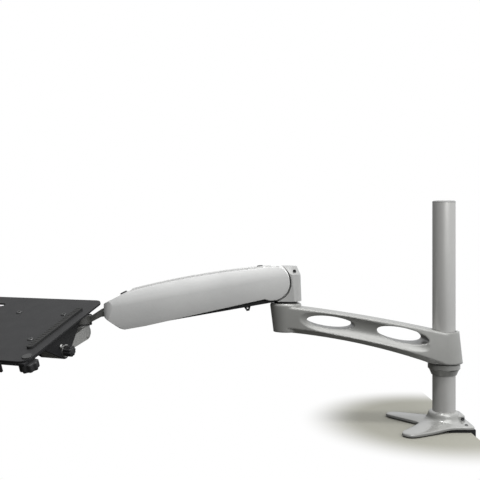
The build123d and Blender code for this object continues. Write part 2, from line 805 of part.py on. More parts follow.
# Knuckle: turned block with a concave face for the shell's round end and a forked tongue
lift_spot = (lift_x, lift_z)
rear_link_spot = (lift_x, lift_z - link_offset)
anchor_spot = (lift_x, lift_z - anchor_offset)
slot_end = elbow_x - elbow_shaft_radius - slot_skin
screw_spot = (elbow_x + knuckle_radius / 2, knuckle_top - knuckle_screw_drop)
knuckle_cut = shell_round + knuckle_gap
with BuildPart() as knuckle:
    with BuildSketch(Plane.XZ):
        with BuildLine():
            Polyline(
                (elbow_x, knuckle_bottom),
                (elbow_x + knuckle_radius, knuckle_bottom),
                (elbow_x + knuckle_shoulder_radius, knuckle_shoulder),
                (elbow_x + knuckle_top_radius, knuckle_top),
                (elbow_x, knuckle_top),
                close=True,
            )
        make_face()
    revolve(axis=Axis((elbow_x, 0, 0), (0, 0, 1)))
    with BuildSketch(Plane.XY.offset(knuckle_bottom)):
        with Locations((elbow_x, 0)):
            Rectangle(4 * knuckle_radius, 2 * knuckle_flat)
    extrude(amount=knuckle_top, mode=Mode.INTERSECT)
    with BuildSketch(Plane.XZ):
        with Locations(lift_spot):
            Circle(knuckle_cut)
    extrude(amount=2 * knuckle_radius, both=True, mode=Mode.SUBTRACT)
    with BuildSketch(Plane.XZ):
        with Locations(lift_spot):
            Circle(tongue_radius)
        with Locations(rear_link_spot):
            Circle(tongue_radius / 2)
        with Locations((elbow_x + tongue_root[0], lift_z + tongue_root[1])):
            Circle(tongue_radius)
        make_hull()
    extrude(amount=tongue_half_width, both=True)
    with BuildSketch(Plane.XZ):
        with Locations((slot_end, lift_z)):
            Rectangle(arm_length, arm_length, align=(Align.MAX, Align.CENTER))
    extrude(amount=tongue_slot, both=True, mode=Mode.SUBTRACT)
    with BuildSketch(Plane.XZ):
        with Locations(lift_spot):
            Circle(lift_pin_radius + running_fit)
        with Locations(rear_link_spot):
            Circle(link_pin_radius + running_fit)
        with Locations(anchor_spot):
            Circle(anchor_pin_radius + thread_fit)
    extrude(amount=2 * tongue_half_width, both=True, mode=Mode.SUBTRACT)
    with BuildSketch(Plane.XY.offset(knuckle_bottom)):
        with Locations((elbow_x, 0)):
            Circle(elbow_shaft_radius + thread_fit)
    extrude(amount=shaft_top - knuckle_bottom + thread_end, mode=Mode.SUBTRACT)
    with BuildSketch(Plane.XZ.offset(knuckle_screw_start)):
        with Locations(screw_spot):
            Circle(knuckle_screw_radius + thread_fit)
    extrude(amount=knuckle_radius, mode=Mode.SUBTRACT)
finish(knuckle, "knuckle")

with BuildPart() as knuckle_screw:
    with BuildSketch(Plane.XZ.offset(knuckle_screw_start)):
        with Locations(screw_spot):
            Circle(knuckle_screw_radius)
    extrude(amount=knuckle_screw_length)
    with BuildSketch(Plane.XZ.offset(knuckle_screw_start + knuckle_screw_length)):
        with Locations(screw_spot):
            RegularPolygon(radius=knuckle_screw_radius * hex_size, side_count=6)
    extrude(amount=-knuckle_hex_depth, mode=Mode.SUBTRACT)
finish(knuckle_screw, "knuckle_screw")

with BuildPart() as anchor_pin:
    with BuildSketch(Plane.XZ):
        with Locations(anchor_spot):
            Circle(anchor_pin_radius)
    extrude(amount=tongue_half_width - part_gap, both=True)
finish(anchor_pin, "anchor_pin")

# Upper arm: two planes along the arm, local x towards the nose and local y downwards
along_arm = (-cos(radians(arm_pitch)), 0, -sin(radians(arm_pitch)))
link_z = lift_z - link_offset
arm_plane = Plane((lift_x, 0, lift_z), x_dir=along_arm, z_dir=(0, -1, 0))
link_plane = Plane((lift_x, 0, link_z), x_dir=along_arm, z_dir=(0, -1, 0))
head_x = lift_x + arm_length * along_arm[0]
head_z = lift_z + arm_length * along_arm[2]
shell_inside = shell_half_width - shell_side_wall
tongue_face = tongue_half_width + part_gap + washer_gap
shell_top = lift_z + crown_rise
nose_peak = (head_x + peak_offset[0], head_z + peak_offset[1])
nose_brow = (head_x + brow_offset[0], head_z + brow_offset[1])
nose_chin = (head_x + chin_offset[0], head_z + chin_offset[1])
nose_base = (head_x + base_offset[0], head_z + base_offset[1])
shell_hem = (lift_x + hem_offset[0], lift_z + hem_offset[1])
strip_start = lift_x - strip_rear_gap
strip_end = nose_peak[0] + strip_nose_gap
eye_along = anchor_offset * sin(radians(arm_pitch))
spring_drop = anchor_offset * cos(radians(arm_pitch)) - spring_lead

top_middle = ((nose_peak[0] + lift_x) / 2, (nose_peak[1] + shell_top) / 2 + shell_bulge)
with BuildSketch() as shell_side:
    with Locations((lift_x, lift_z)):
        Circle(shell_round)
    with Locations((lift_x, shell_top)):
        Rectangle(3 * shell_round, shell_round, align=(Align.CENTER, Align.MIN), mode=Mode.SUBTRACT)
    with BuildLine():
        ThreePointArc(nose_peak, top_middle, (lift_x, shell_top))
        Line((lift_x, shell_top), (lift_x, lift_z))
        Line((lift_x, lift_z), shell_hem)
        Line(shell_hem, nose_base)
        Line(nose_base, nose_chin)
        Line(nose_chin, nose_brow)
        Line(nose_brow, nose_peak)
    make_face()
    nose_rounds = (peak_round, brow_round, chin_round, base_round)
    for corner, corner_round in zip((nose_peak, nose_brow, nose_chin, nose_base), nose_rounds):
        fillet(shell_side.vertices().sort_by_distance(corner)[0], radius=corner_round)

with BuildSketch() as shell_hollow:
    offset(shell_side.sketch, amount=-shell_wall)
    add(shell_hollow.sketch.moved(Location((0, -shell_round, 0))))
    with Locations((lift_x + hollow_start, lift_z)):
        Rectangle(2 * shell_round, 4 * shell_round, align=(Align.MIN, Align.CENTER))

strip_middle = ((strip_start + strip_end) / 2, 0)
with BuildSketch() as strip_side:
    with BuildLine():
        strip_top = [(x, z + strip_rise) for x, z in (nose_peak, top_middle, (lift_x, shell_top))]
        strip_base = [(x, z - strip_sink) for x, z in (nose_peak, top_middle, (lift_x, shell_top))]
        ThreePointArc(*strip_top)
        ThreePointArc(*strip_base)
        Line(strip_top[0], strip_base[0])
        Line(strip_top[-1], strip_base[-1])
    make_face()
    with Locations(strip_middle):
        Rectangle(strip_start - strip_end, 4 * shell_top, mode=Mode.INTERSECT)

with BuildPart() as top_strip:
    with BuildSketch(Plane.XZ):
        add(strip_side.sketch)
    extrude(amount=strip_half_width, both=True)
    with BuildSketch(Plane.XY):
        with Locations((strip_end + strip_slot_length, 0)):
            SlotOverall(strip_slot_length, strip_slot_width)
    extrude(amount=2 * shell_top, mode=Mode.SUBTRACT)
finish(top_strip, "top_strip")

# The hollow is wide below and narrow above, where the barrel shaped sides close in
with BuildPart() as shell_core:
    with BuildSketch(Plane.XZ):
        add(shell_hollow.sketch)
    extrude(amount=shell_inside, both=True)
    with BuildSketch(arm_plane):
        with Locations((arm_length / 2, -core_rise)):
            Rectangle(2 * arm_length, 4 * shell_round, align=(Align.CENTER, Align.MIN))
    extrude(amount=2 * shell_inside, both=True, mode=Mode.INTERSECT)
    with BuildSketch(Plane.XZ):
        add(shell_hollow.sketch)
    extrude(amount=tongue_face, both=True)

section_plane = Plane((lift_x, 0, lift_z), x_dir=(0, 1, 0), z_dir=along_arm)
widest = (shell_half_width, -barrel_level)
with BuildPart() as arm_shell:
    with BuildSketch(Plane.XZ):
        add(shell_side.sketch)
    extrude(amount=shell_half_width, both=True)
    with BuildSketch() as nose_plan:
        with Locations((nose_chin[0], 0)):
            Rectangle(2 * arm_length, 2 * shell_half_width, align=(Align.MIN, Align.CENTER))
        fillet(nose_plan.vertices().group_by(Axis.X)[0], radius=nose_plan_round)
    extrude(amount=2 * shell_top, mode=Mode.INTERSECT)
    with BuildSketch(section_plane):
        with BuildLine():
            lower_side = TangentArc(widest, (barrel_base, barrel_base_level), tangent=(0, 1))
            upper_side = TangentArc(widest, (barrel_top, -barrel_top_level), tangent=(0, -1))
            Polyline(upper_side @ 1, (0, -barrel_top_level), (0, barrel_base_level), lower_side @ 1)
        make_face()
        mirror(about=Plane.YZ)
    extrude(amount=2 * arm_length, both=True, mode=Mode.INTERSECT)
    add(shell_core.part, mode=Mode.SUBTRACT)
    with BuildSketch(Plane.XZ):
        with Locations((nose_chin[0] + nose_slot_depth, head_z)):
            Rectangle(arm_length, arm_length, align=(Align.MAX, Align.CENTER))
    extrude(amount=nose_slot, both=True, mode=Mode.SUBTRACT)
    with BuildSketch(Plane.XZ):
        with Locations((nose_chin[0] + nose_slot_depth, head_z - link_slot_drop)):
            Rectangle(arm_length, arm_length, align=(Align.MAX, Align.MAX))
    extrude(amount=link_slot, both=True, mode=Mode.SUBTRACT)
    with BuildSketch(Plane.XZ.offset(tongue_face)):
        with Locations((lift_x, lift_z), (head_x, head_z)):
            Circle(shell_boss_radius)
    extrude(amount=shell_inside - tongue_face)
    with BuildSketch(Plane.XZ.offset(-tongue_face)):
        with Locations((lift_x, lift_z), (head_x, head_z)):
            Circle(shell_boss_radius)
    extrude(amount=tongue_face - shell_inside)
    with BuildSketch(Plane.XZ):
        with Locations((lift_x, lift_z)):
            Circle(lift_pin_radius + running_fit)
        with Locations((head_x, head_z)):
            Circle(head_pin_radius + running_fit)
    extrude(amount=shell_half_width - pin_skin, both=True, mode=Mode.SUBTRACT)
    with BuildSketch(arm_plane):
        with Locations((spring_pin_along, spring_drop)):
            Circle(spring_pin_radius + thread_fit)
    extrude(amount=shell_half_width - pin_skin, both=True, mode=Mode.SUBTRACT)
    with BuildSketch(Plane.XZ):
        add(strip_side.sketch)
    extrude(amount=strip_half_width, both=True, mode=Mode.SUBTRACT)
finish(arm_shell, "arm_shell")

# Short pins, one on each side, so that the spring passes between them
with BuildPart() as lift_pins:
    for side in (1, -1):
        with BuildSketch(Plane.XZ.offset(side * (tongue_slot + part_gap))):
            with Locations((lift_x, lift_z)):
                Circle(lift_pin_radius)
        extrude(amount=side * (shell_half_width - pin_skin - tongue_slot - part_gap))
finish(lift_pins, "lift_pins")

with BuildPart() as rear_link_pins:
    for side in (1, -1):
        with BuildSketch(Plane.XZ.offset(side * (tongue_slot + part_gap))):
            with Locations((lift_x, link_z)):
                Circle(link_pin_radius)
        extrude(amount=side * (link_half_width - tongue_slot - part_gap))
finish(rear_link_pins, "rear_link_pins")

with BuildPart() as head_pin:
    with BuildSketch(Plane.XZ):
        with Locations((head_x, head_z)):
            Circle(head_pin_radius)
    extrude(amount=shell_half_width - pin_skin, both=True)
finish(head_pin, "head_pin")

with BuildPart() as front_link_pin:
    with BuildSketch(Plane.XZ):
        with Locations((head_x, head_z - link_offset)):
            Circle(link_pin_radius)
    extrude(amount=link_half_width, both=True)
finish(front_link_pin, "front_link_pin")

with BuildPart() as pivot_washers:
    for side in (1, -1):
        with BuildSketch(Plane.XZ.offset(side * (tongue_half_width + washer_gap))):
            with Locations((lift_x, lift_z)):
                Circle(washer_radius)
                Circle(lift_pin_radius + running_fit, mode=Mode.SUBTRACT)
            with Locations((head_x, head_z)):
                Circle(washer_radius)
                Circle(head_pin_radius + running_fit, mode=Mode.SUBTRACT)
        extrude(amount=side * (tongue_face - tongue_half_width - washer_gap))
finish(pivot_washers, "pivot_washers")

# Lower link: channel under the shell that keeps the head level
with BuildPart() as lower_link:
    for side in (1, -1):
        with BuildSketch(link_plane.offset(side * (link_half_width - link_wall))):
            with Locations((arm_length / 2, (link_drop - link_rise) / 2)):
                Rectangle(arm_length, link_drop + link_rise)
            with Locations((0, 0), (arm_length, 0)):
                Circle(link_ear)
            with Locations((0, 0), (arm_length, 0)):
                Circle(link_pin_radius + thread_fit, mode=Mode.SUBTRACT)
        extrude(amount=side * link_wall)
    with BuildSketch(link_plane):
        with Locations((arm_length / 2, link_drop - link_wall / 2)):
            Rectangle(arm_length - 2 * link_floor_gap, link_wall)
    extrude(amount=link_half_width, both=True)
finish(lower_link, "lower_link")

with BuildPart() as cable_clip:
    with BuildSketch(link_plane):
        with BuildLine():
            Polyline(
                (clip_along - clip_length / 2, link_drop),
                (clip_along + clip_length / 2, link_drop),
                (clip_along + clip_length * clip_taper, link_drop + clip_height),
                (clip_along - clip_length * clip_taper, link_drop + clip_height),
                close=True,
            )
        make_face()
        with Locations((clip_along, link_drop + clip_height / 2)):
            Circle(clip_height * clip_taper, mode=Mode.SUBTRACT)
    extrude(amount=clip_half_width, both=True)
finish(cable_clip, "cable_clip")

# Gas spring: cylinder pinned in the shell, rod hooked over the anchor pin in the knuckle
spring_start_point = arm_plane.from_local_coords((spring_start, spring_drop, 0))
spring_end = spring_start + spring_length
with BuildPart() as spring_cylinder:
    with BuildSketch(Plane(spring_start_point, x_dir=(0, 1, 0), z_dir=along_arm)):
        Circle(spring_radius)
    extrude(amount=spring_length)
    fillet(spring_cylinder.edges(), radius=spring_edge)
    with BuildSketch(arm_plane):
        with Locations((spring_pin_along, spring_drop)):
            Circle(eye_radius)
        with Locations(((spring_end + spring_pin_along - eye_neck) / 2, spring_drop)):
            Rectangle(spring_pin_along - spring_end + eye_neck, 2 * rod_radius)
    extrude(amount=rod_radius, both=True)
    with BuildSketch(arm_plane):
        with Locations((spring_pin_along, spring_drop)):
            Circle(spring_pin_radius + running_fit)
    extrude(amount=spring_radius, both=True, mode=Mode.SUBTRACT)
    with BuildSketch(Plane(spring_start_point, x_dir=(0, 1, 0), z_dir=along_arm)):
        Circle(rod_radius + running_fit)
    extrude(amount=2 * rod_inside, mode=Mode.SUBTRACT)
finish(spring_cylinder, "spring_cylinder")

rod_start = eye_along + eye_hole + eye_skin
rod_point = arm_plane.from_local_coords((rod_start, spring_drop, 0))
with BuildPart() as spring_rod:
    with BuildSketch(Plane(rod_point, x_dir=(0, 1, 0), z_dir=along_arm)):
        Circle(rod_radius)
    extrude(amount=spring_start + rod_inside - rod_start)
    with BuildSketch(arm_plane):
        with Locations((eye_along, spring_drop)):
            Circle(eye_radius)
            Circle(eye_hole, mode=Mode.SUBTRACT)
    extrude(amount=tongue_slot - eye_side_gap, both=True)
finish(spring_rod, "spring_rod")

with BuildPart() as spring_pin:
    with BuildSketch(arm_plane):
        with Locations((spring_pin_along, spring_drop)):
            Circle(spring_pin_radius)
    extrude(amount=shell_half_width - pin_skin, both=True)
finish(spring_pin, "spring_pin")

# Head bracket: level casting on the two front pins, with a neck out to the pan axis
pan_x = head_x - pan_reach
pan_top = head_z - pan_drop
pan_bottom = pan_top - pan_height
neck_knee = head_x - knee_reach
neck_top = head_z - neck_drop
neck_bottom = neck_top - neck_height
neck_slot = 2 * (neck_half_width + pan_cover_slot)
with BuildPart() as head_bracket:
    with BuildSketch(Plane.XZ):
        with Locations((head_x, head_z)):
            Circle(head_ear)
        with Locations((head_x, head_z - link_offset)):
            Circle(tongue_radius / 2)
        make_hull()
    extrude(amount=tongue_half_width, both=True)
    with BuildSketch(Plane.XZ):
        with BuildLine():
            Polyline(
                (head_x, head_z + neck_root_top),
                (neck_knee, neck_top),
                (pan_x + pan_end_radius + knee_run, pan_top),
                (pan_x, pan_top),
                (pan_x, pan_bottom),
                (pan_x + pan_end_radius, pan_bottom),
                (neck_knee, neck_bottom),
                (head_x, head_z - neck_root_bottom),
                close=True,
            )
        make_face()
    extrude(amount=neck_half_width, both=True)
    with BuildSketch(Plane.XY.offset(pan_bottom)):
        with Locations((pan_x, 0)):
            Circle(pan_end_radius)
    extrude(amount=pan_height)
    with BuildSketch(Plane.XY.offset(pan_bottom)):
        with Locations((pan_x, 0)):
            Circle(pan_bolt_radius + thread_fit)
    extrude(amount=pan_height, mode=Mode.SUBTRACT)
    with BuildSketch(Plane.XZ):
        with Locations((head_x, head_z)):
            Circle(head_pin_radius + running_fit)
        with Locations((head_x, head_z - link_offset)):
            Circle(link_pin_radius + running_fit)
    extrude(amount=tongue_half_width, both=True, mode=Mode.SUBTRACT)
finish(head_bracket, "head_bracket")

with BuildPart() as pan_cover:
    with BuildSketch(Plane.XY.offset(pan_bottom)):
        with Locations((pan_x, 0)):
            Circle(pan_cover_radius)
    extrude(amount=pan_height + pan_cover_roof)
    fillet(pan_cover.edges().sort_by(Axis.Z)[-1], radius=pan_cover_edge)
    with BuildSketch(Plane.XY.offset(pan_bottom)):
        with Locations((pan_x, 0)):
            Circle(pan_end_radius + running_fit)
    extrude(amount=pan_height, mode=Mode.SUBTRACT)
    with BuildSketch(Plane.XY.offset(pan_bottom)):
        with Locations((pan_x, 0)):
            Rectangle(2 * pan_cover_radius, neck_slot, align=(Align.MIN, Align.CENTER))
    extrude(amount=2 * pan_height, mode=Mode.SUBTRACT)
finish(pan_cover, "pan_cover")

barrel_top = pan_bottom - pan_washer_thickness
barrel_bottom = barrel_top - barrel_height
tilt_z = barrel_bottom - tilt_drop
with BuildPart() as pan_washer:
    with BuildSketch(Plane.XY.offset(barrel_top + running_fit)):
        with Locations((pan_x, 0)):
            Circle(pan_cover_radius - part_gap)
            Circle(pan_bolt_radius + bolt_fit, mode=Mode.SUBTRACT)
    extrude(amount=pan_washer_thickness - running_fit)
finish(pan_washer, "pan_washer")

# Tilt head: barrel on the pan bolt with a clevis arm that reaches forward to the tilt axis
right = (cos(radians(tray_yaw)), -sin(radians(tray_yaw)), 0)
ahead = (-sin(radians(tray_yaw)), -cos(radians(tray_yaw)), 0)
tray_normal = (
    ahead[0] * sin(radians(tray_tilt)),
    ahead[1] * sin(radians(tray_tilt)),
    cos(radians(tray_tilt)),
)
tilt_centre = (pan_x + tilt_reach * ahead[0], tilt_reach * ahead[1], tilt_z)
reach_plane = Plane((pan_x, 0, 0), x_dir=ahead, z_dir=right)
reach_up = 1 if reach_plane.y_dir.Z > 0 else -1
bolt_seat = barrel_bottom + pan_bolt_head + pan_bolt_sink
with BuildPart() as tilt_head:
    with BuildSketch(Plane.XY.offset(barrel_bottom)):
        with Locations((pan_x, 0)):
            Circle(barrel_radius)
    extrude(amount=barrel_height)
    fillet(tilt_head.edges().sort_by(Axis.Z)[0], radius=barrel_round)
    with BuildSketch(reach_plane):
        with Locations((tilt_reach, reach_up * tilt_z)):
            Circle(reach_end)
        with Locations((reach_root, reach_up * (barrel_bottom + barrel_top) / 2)):
            Circle(barrel_height / 2 - reach_skin)
        make_hull()
    extrude(amount=tilt_arm_half_width, both=True)
    with BuildSketch(reach_plane):
        with Locations((tilt_reach, reach_up * tilt_z)):
            Circle(tilt_knuckle_radius)
    extrude(amount=tilt_knuckle_half, both=True)
    with BuildSketch(reach_plane):
        with Locations((tilt_reach, reach_up * tilt_z)):
            Circle(tilt_bolt_radius + running_fit)
    extrude(amount=tilt_knuckle_half, both=True, mode=Mode.SUBTRACT)
    with BuildSketch(Plane.XY.offset(barrel_bottom)):
        with Locations((pan_x, 0)):
            Circle(pan_bolt_radius + running_fit)
    extrude(amount=barrel_height, mode=Mode.SUBTRACT)
    with BuildSketch(Plane.XY.offset(barrel_bottom - barrel_radius)):
        with Locations((pan_x, 0)):
            Circle(pan_bolt_head_radius + bolt_fit)
    extrude(amount=bolt_seat - barrel_bottom + barrel_radius, mode=Mode.SUBTRACT)
finish(tilt_head, "tilt_head")

with BuildPart() as pan_bolt:
    with BuildSketch(Plane.XY.offset(bolt_seat - running_fit)):
        with Locations((pan_x, 0)):
            Circle(pan_bolt_head_radius)
    extrude(amount=-pan_bolt_head)
    with BuildSketch(Plane.XY.offset(bolt_seat - running_fit)):
        with Locations((pan_x, 0)):
            Circle(pan_bolt_radius)
    extrude(amount=pan_top - pan_bolt_sink - bolt_seat)
    with BuildSketch(Plane.XY.offset(bolt_seat - running_fit - pan_bolt_head)):
        with Locations((pan_x, 0)):
            RegularPolygon(radius=pan_bolt_radius * hex_size, side_count=6)
    extrude(amount=pan_bolt_head * hex_depth, mode=Mode.SUBTRACT)
finish(pan_bolt, "pan_bolt")

# Holder frame: origin on the tilt axis, x to the right, y to the rear, z square to the tray
tray_plane = Plane(tilt_centre, x_dir=right, z_dir=tray_normal)
cheek_plane = Plane(tilt_centre, x_dir=tray_plane.y_dir, z_dir=right)
gusset_inner = tilt_knuckle_half + gusset_gap
gusset_outer = gusset_inner + gusset_thickness
plate_top = plate_level + bracket_plate
tray_top = plate_top + tray_thickness
screw_left = (bracket_left + gusset_outer) / 2 - tray_screw_pitch / 2
screw_front = (gusset_rear - gusset_front) / 2 - tray_screw_pitch / 2
tray_screw_spots = [
    (screw_left + i * tray_screw_pitch, screw_front + j * tray_screw_pitch) for i in (0, 1) for j in (0, 1)
]

with BuildPart() as tilt_bracket:
    with BuildSketch(tray_plane.offset(plate_level)):
        with Locations((bracket_left, -gusset_front)):
            Rectangle(gusset_outer - bracket_left, gusset_front + gusset_rear, align=(Align.MIN, Align.MIN))
    extrude(amount=bracket_plate)
    for side in (1, -1):
        with BuildSketch(cheek_plane.offset(side * gusset_inner)):
            with BuildLine():
                Polyline(
                    (-gusset_front, plate_level),
                    (gusset_rear, plate_level),
                    (gusset_rear, plate_level - gusset_rim),
                    (tilt_knuckle_radius * 0.7, -tilt_knuckle_radius * 0.7),
                    (-tilt_knuckle_radius * 0.5, -tilt_knuckle_radius * 0.85),
                    (-gusset_front, plate_level - gusset_rim),
                    close=True,
                )
            make_face()
            Circle(tilt_knuckle_radius)
            Circle(tilt_bolt_radius + running_fit, mode=Mode.SUBTRACT)
            with Locations(guard_spot):
                Circle(guard_radius + thread_fit, mode=Mode.SUBTRACT)
        extrude(amount=side * gusset_thickness)
    with BuildSketch(tray_plane.offset(plate_level)):
        with Locations(tray_screw_spots):
            Circle(tray_screw_radius + thread_fit)
    extrude(amount=bracket_plate, mode=Mode.SUBTRACT)
finish(tilt_bracket, "tilt_bracket")

with BuildPart() as tilt_washers:
    for side in (1, -1):
        with BuildSketch(cheek_plane.offset(side * (tilt_knuckle_half + washer_gap))):
            Circle(tilt_knuckle_radius - tilt_ring_margin)
            Circle(tilt_bolt_radius + running_fit, mode=Mode.SUBTRACT)
        extrude(amount=side * (gusset_gap - washer_gap))
finish(tilt_washers, "tilt_washers")

with BuildPart() as guard_screws:
    for side in (1, -1):
        with BuildSketch(cheek_plane.offset(side * gusset_inner)):
            with Locations(guard_spot):
                Circle(guard_radius)
        extrude(amount=side * gusset_thickness)
        with BuildSketch(cheek_plane.offset(side * gusset_outer)):
            with Locations(guard_spot):
                Circle(guard_radius * 1.6)
                RegularPolygon(radius=guard_radius * 0.7, side_count=6, mode=Mode.SUBTRACT)
        extrude(amount=side * guard_radius)
finish(guard_screws, "guard_screws")

# Tilt bolt with its nut on the left, washer and knob on the right
knob_face = gusset_outer + tilt_washer_thickness
bolt_start = -gusset_outer - tilt_nut_height - tilt_bolt_end
with BuildPart() as tilt_bolt:
    with BuildSketch(cheek_plane.offset(bolt_start)):
        Circle(tilt_bolt_radius)
    extrude(amount=knob_face + tilt_knob_length - tilt_knob_cover - bolt_start)
finish(tilt_bolt, "tilt_bolt")

with BuildPart() as tilt_nut:
    with BuildSketch(cheek_plane.offset(-gusset_outer)):
        RegularPolygon(radius=tilt_nut_radius, side_count=6)
        Circle(tilt_bolt_radius + thread_fit, mode=Mode.SUBTRACT)
    extrude(amount=-tilt_nut_height)
finish(tilt_nut, "tilt_nut")

with BuildPart() as tilt_ring:
    with BuildSketch(cheek_plane.offset(gusset_outer)):
        Circle(tilt_knob_radius + tilt_ring_margin)
        Circle(tilt_bolt_radius + running_fit, mode=Mode.SUBTRACT)
    extrude(amount=tilt_washer_thickness - running_fit)
finish(tilt_ring, "tilt_ring")

with BuildPart() as tilt_knob:
    with BuildSketch(cheek_plane.offset(knob_face)):
        Circle(tilt_knob_radius * 0.8)
        with PolarLocations(tilt_knob_radius * 0.68, tilt_knob_lobes):
            Circle(tilt_knob_radius * 0.32)
    extrude(amount=tilt_knob_length)
    with BuildSketch(cheek_plane.offset(knob_face)):
        Circle(tilt_bolt_radius + thread_fit)
    extrude(amount=tilt_knob_length - tilt_knob_cover, mode=Mode.SUBTRACT)
finish(tilt_knob, "tilt_knob")

# Tray with rounded corners and vent slots
stop_level = plate_top - stop_gap - stop_thickness
knob_spots = [
    (tray_right - stop_knob_inset, tray_front + stop_knob_setback),
    (tray_left + stop_knob_inset, tray_front + stop_knob_setback),
]
vent_x = (tray_left + bracket_left) / 2
with BuildPart() as tray:
    with BuildSketch(tray_plane.offset(plate_top)):
        with Locations(((tray_left + tray_right) / 2, (tray_front + tray_rear) / 2)):
            RectangleRounded(tray_right - tray_left, tray_rear - tray_front, tray_corner)
        with Locations((vent_x, (tray_front + tray_rear) / 2)):
            with GridLocations(1, vent_pitch, 1, vent_count):
                SlotOverall(vent_length, vent_width, mode=Mode.SUBTRACT)
        with Locations(tray_screw_spots):
            Circle(tray_screw_radius + bolt_fit, mode=Mode.SUBTRACT)
        with Locations(knob_spots):
            Circle(stop_screw_radius + running_fit, mode=Mode.SUBTRACT)
    extrude(amount=tray_thickness)
finish(tray, "tray")

with BuildPart() as tray_screws:
    with BuildSketch(tray_plane.offset(plate_level)):
        with Locations(tray_screw_spots):
            Circle(tray_screw_radius)
    extrude(amount=tray_top - plate_level)
    with BuildSketch(tray_plane.offset(tray_top)):
        with Locations(tray_screw_spots):
            Circle(tray_screw_head)
            RegularPolygon(radius=tray_screw_radius * 0.7, side_count=6, mode=Mode.SUBTRACT)
    extrude(amount=tray_screw_head_height)
finish(tray_screws, "tray_screws")

with BuildPart() as tray_pads:
    with BuildSketch(tray_plane.offset(tray_top)):
        for pad_x in (tray_left + 2 * tray_pad_width, tray_right - 2 * tray_pad_width):
            with Locations((pad_x, (tray_front + tray_rear) / 2)):
                SlotOverall(tray_pad_length, tray_pad_width, rotation=90)
    extrude(amount=tray_pad_height)
    fillet(tray_pads.faces().sort_by(Axis(tilt_centre, tray_normal))[-2:].edges(), radius=tray_pad_edge)
finish(tray_pads, "tray_pads")

# Front stop: slotted bar under the tray with two lips in front of its edge
lip_back = tray_front - part_gap
stop_width = tray_right - tray_left - 2 * stop_side_gap
stop_slot_width = 2 * (stop_screw_radius + stop_slot_play)
tray_middle = (tray_left + tray_right) / 2
lip_spots = [tray_middle - stop_lip_spread, tray_middle + stop_lip_spread]
with BuildPart() as front_stop:
    with BuildSketch(tray_plane.offset(stop_level)):
        with Locations((tray_middle, lip_back)):
            Rectangle(stop_width, stop_depth, align=(Align.CENTER, Align.MIN))
        with Locations([(x, y + stop_travel / 2) for x, y in knob_spots]):
            SlotOverall(stop_travel + stop_slot_width, stop_slot_width, rotation=90, mode=Mode.SUBTRACT)
    extrude(amount=stop_thickness)
    with BuildSketch(tray_plane.offset(stop_level - tray_flange)):
        with Locations((tray_left + tray_corner, lip_back)):
            Rectangle(tray_right - tray_left - 4 * tray_corner, stop_thickness,
                      align=(Align.MIN, Align.MAX))
    extrude(amount=tray_flange + stop_thickness)
    with BuildSketch(tray_plane.offset(stop_level)):
        for lip_x in lip_spots:
            with Locations((lip_x, lip_back)):
                Rectangle(stop_lip_width, stop_thickness, align=(Align.CENTER, Align.MAX))
    extrude(amount=tray_top + tray_pad_height + stop_lip_height - stop_level)
finish(front_stop, "front_stop")

# Stop knobs under the front corners, each with its screw through the tray
stop_knob_top = stop_level - stop_gap
for side_name, spot in zip(("right", "left"), knob_spots):
    with BuildPart() as stop_knob:
        with BuildSketch(tray_plane.offset(stop_knob_top - stop_knob_height)):
            with Locations(spot):
                Circle(stop_knob_radius * 0.82)
                with PolarLocations(stop_knob_radius * 0.72, stop_knob_lobes):
                    Circle(stop_knob_radius * 0.28)
        extrude(amount=stop_knob_height)
        with BuildSketch(tray_plane.offset(stop_knob_top)):
            with Locations(spot):
                Circle(stop_screw_radius + thread_fit)
        extrude(amount=-stop_knob_height * 0.7, mode=Mode.SUBTRACT)
    finish(stop_knob, f"stop_knob_{side_name}")
    with BuildPart() as stop_screw:
        with BuildSketch(tray_plane.offset(tray_top + running_fit)):
            with Locations(spot):
                Circle(2 * stop_screw_radius)
        extrude(amount=tray_screw_head_height)
        with BuildSketch(tray_plane.offset(tray_top + running_fit)):
            with Locations(spot):
                Circle(stop_screw_radius)
        extrude(amount=stop_knob_top - stop_knob_height * 0.6 - tray_top)
    finish(stop_screw, f"stop_screw_{side_name}")
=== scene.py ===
import json
import math

import bmesh
import bpy
from mathutils import Matrix, Vector
from mathutils.bvhtree import BVHTree


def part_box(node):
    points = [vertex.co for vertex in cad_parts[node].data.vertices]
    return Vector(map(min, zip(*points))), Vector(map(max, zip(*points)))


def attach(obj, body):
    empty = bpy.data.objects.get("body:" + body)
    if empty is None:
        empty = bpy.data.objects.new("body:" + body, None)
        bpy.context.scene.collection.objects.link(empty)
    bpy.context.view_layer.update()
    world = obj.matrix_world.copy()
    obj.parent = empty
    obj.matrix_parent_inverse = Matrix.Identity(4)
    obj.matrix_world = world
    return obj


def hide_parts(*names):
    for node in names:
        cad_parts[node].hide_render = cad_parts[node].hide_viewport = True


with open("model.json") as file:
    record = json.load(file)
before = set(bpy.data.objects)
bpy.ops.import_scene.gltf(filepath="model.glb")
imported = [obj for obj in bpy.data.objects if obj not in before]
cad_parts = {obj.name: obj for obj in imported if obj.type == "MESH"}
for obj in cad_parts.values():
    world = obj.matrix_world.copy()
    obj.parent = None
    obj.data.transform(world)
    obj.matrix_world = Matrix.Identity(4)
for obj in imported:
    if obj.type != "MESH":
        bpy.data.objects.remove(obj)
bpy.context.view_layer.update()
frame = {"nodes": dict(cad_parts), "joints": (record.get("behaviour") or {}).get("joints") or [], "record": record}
nodes = frame["nodes"]
joints = {row["name"]: row for row in frame["joints"]}
mm = 0.001
print("frame loaded:", len(nodes), "nodes")


# node helpers, for shaders and shapes alike

def addNode(tree, kind, **settings):
    node = tree.nodes.new(kind)
    for key, value in settings.items():
        setattr(node, key, value)
    return node


def setSocket(tree, socket, value):  # a plain value, or a link from another node's socket
    if hasattr(value, "links"):
        tree.links.new(value, socket)
    else:
        socket.default_value = value


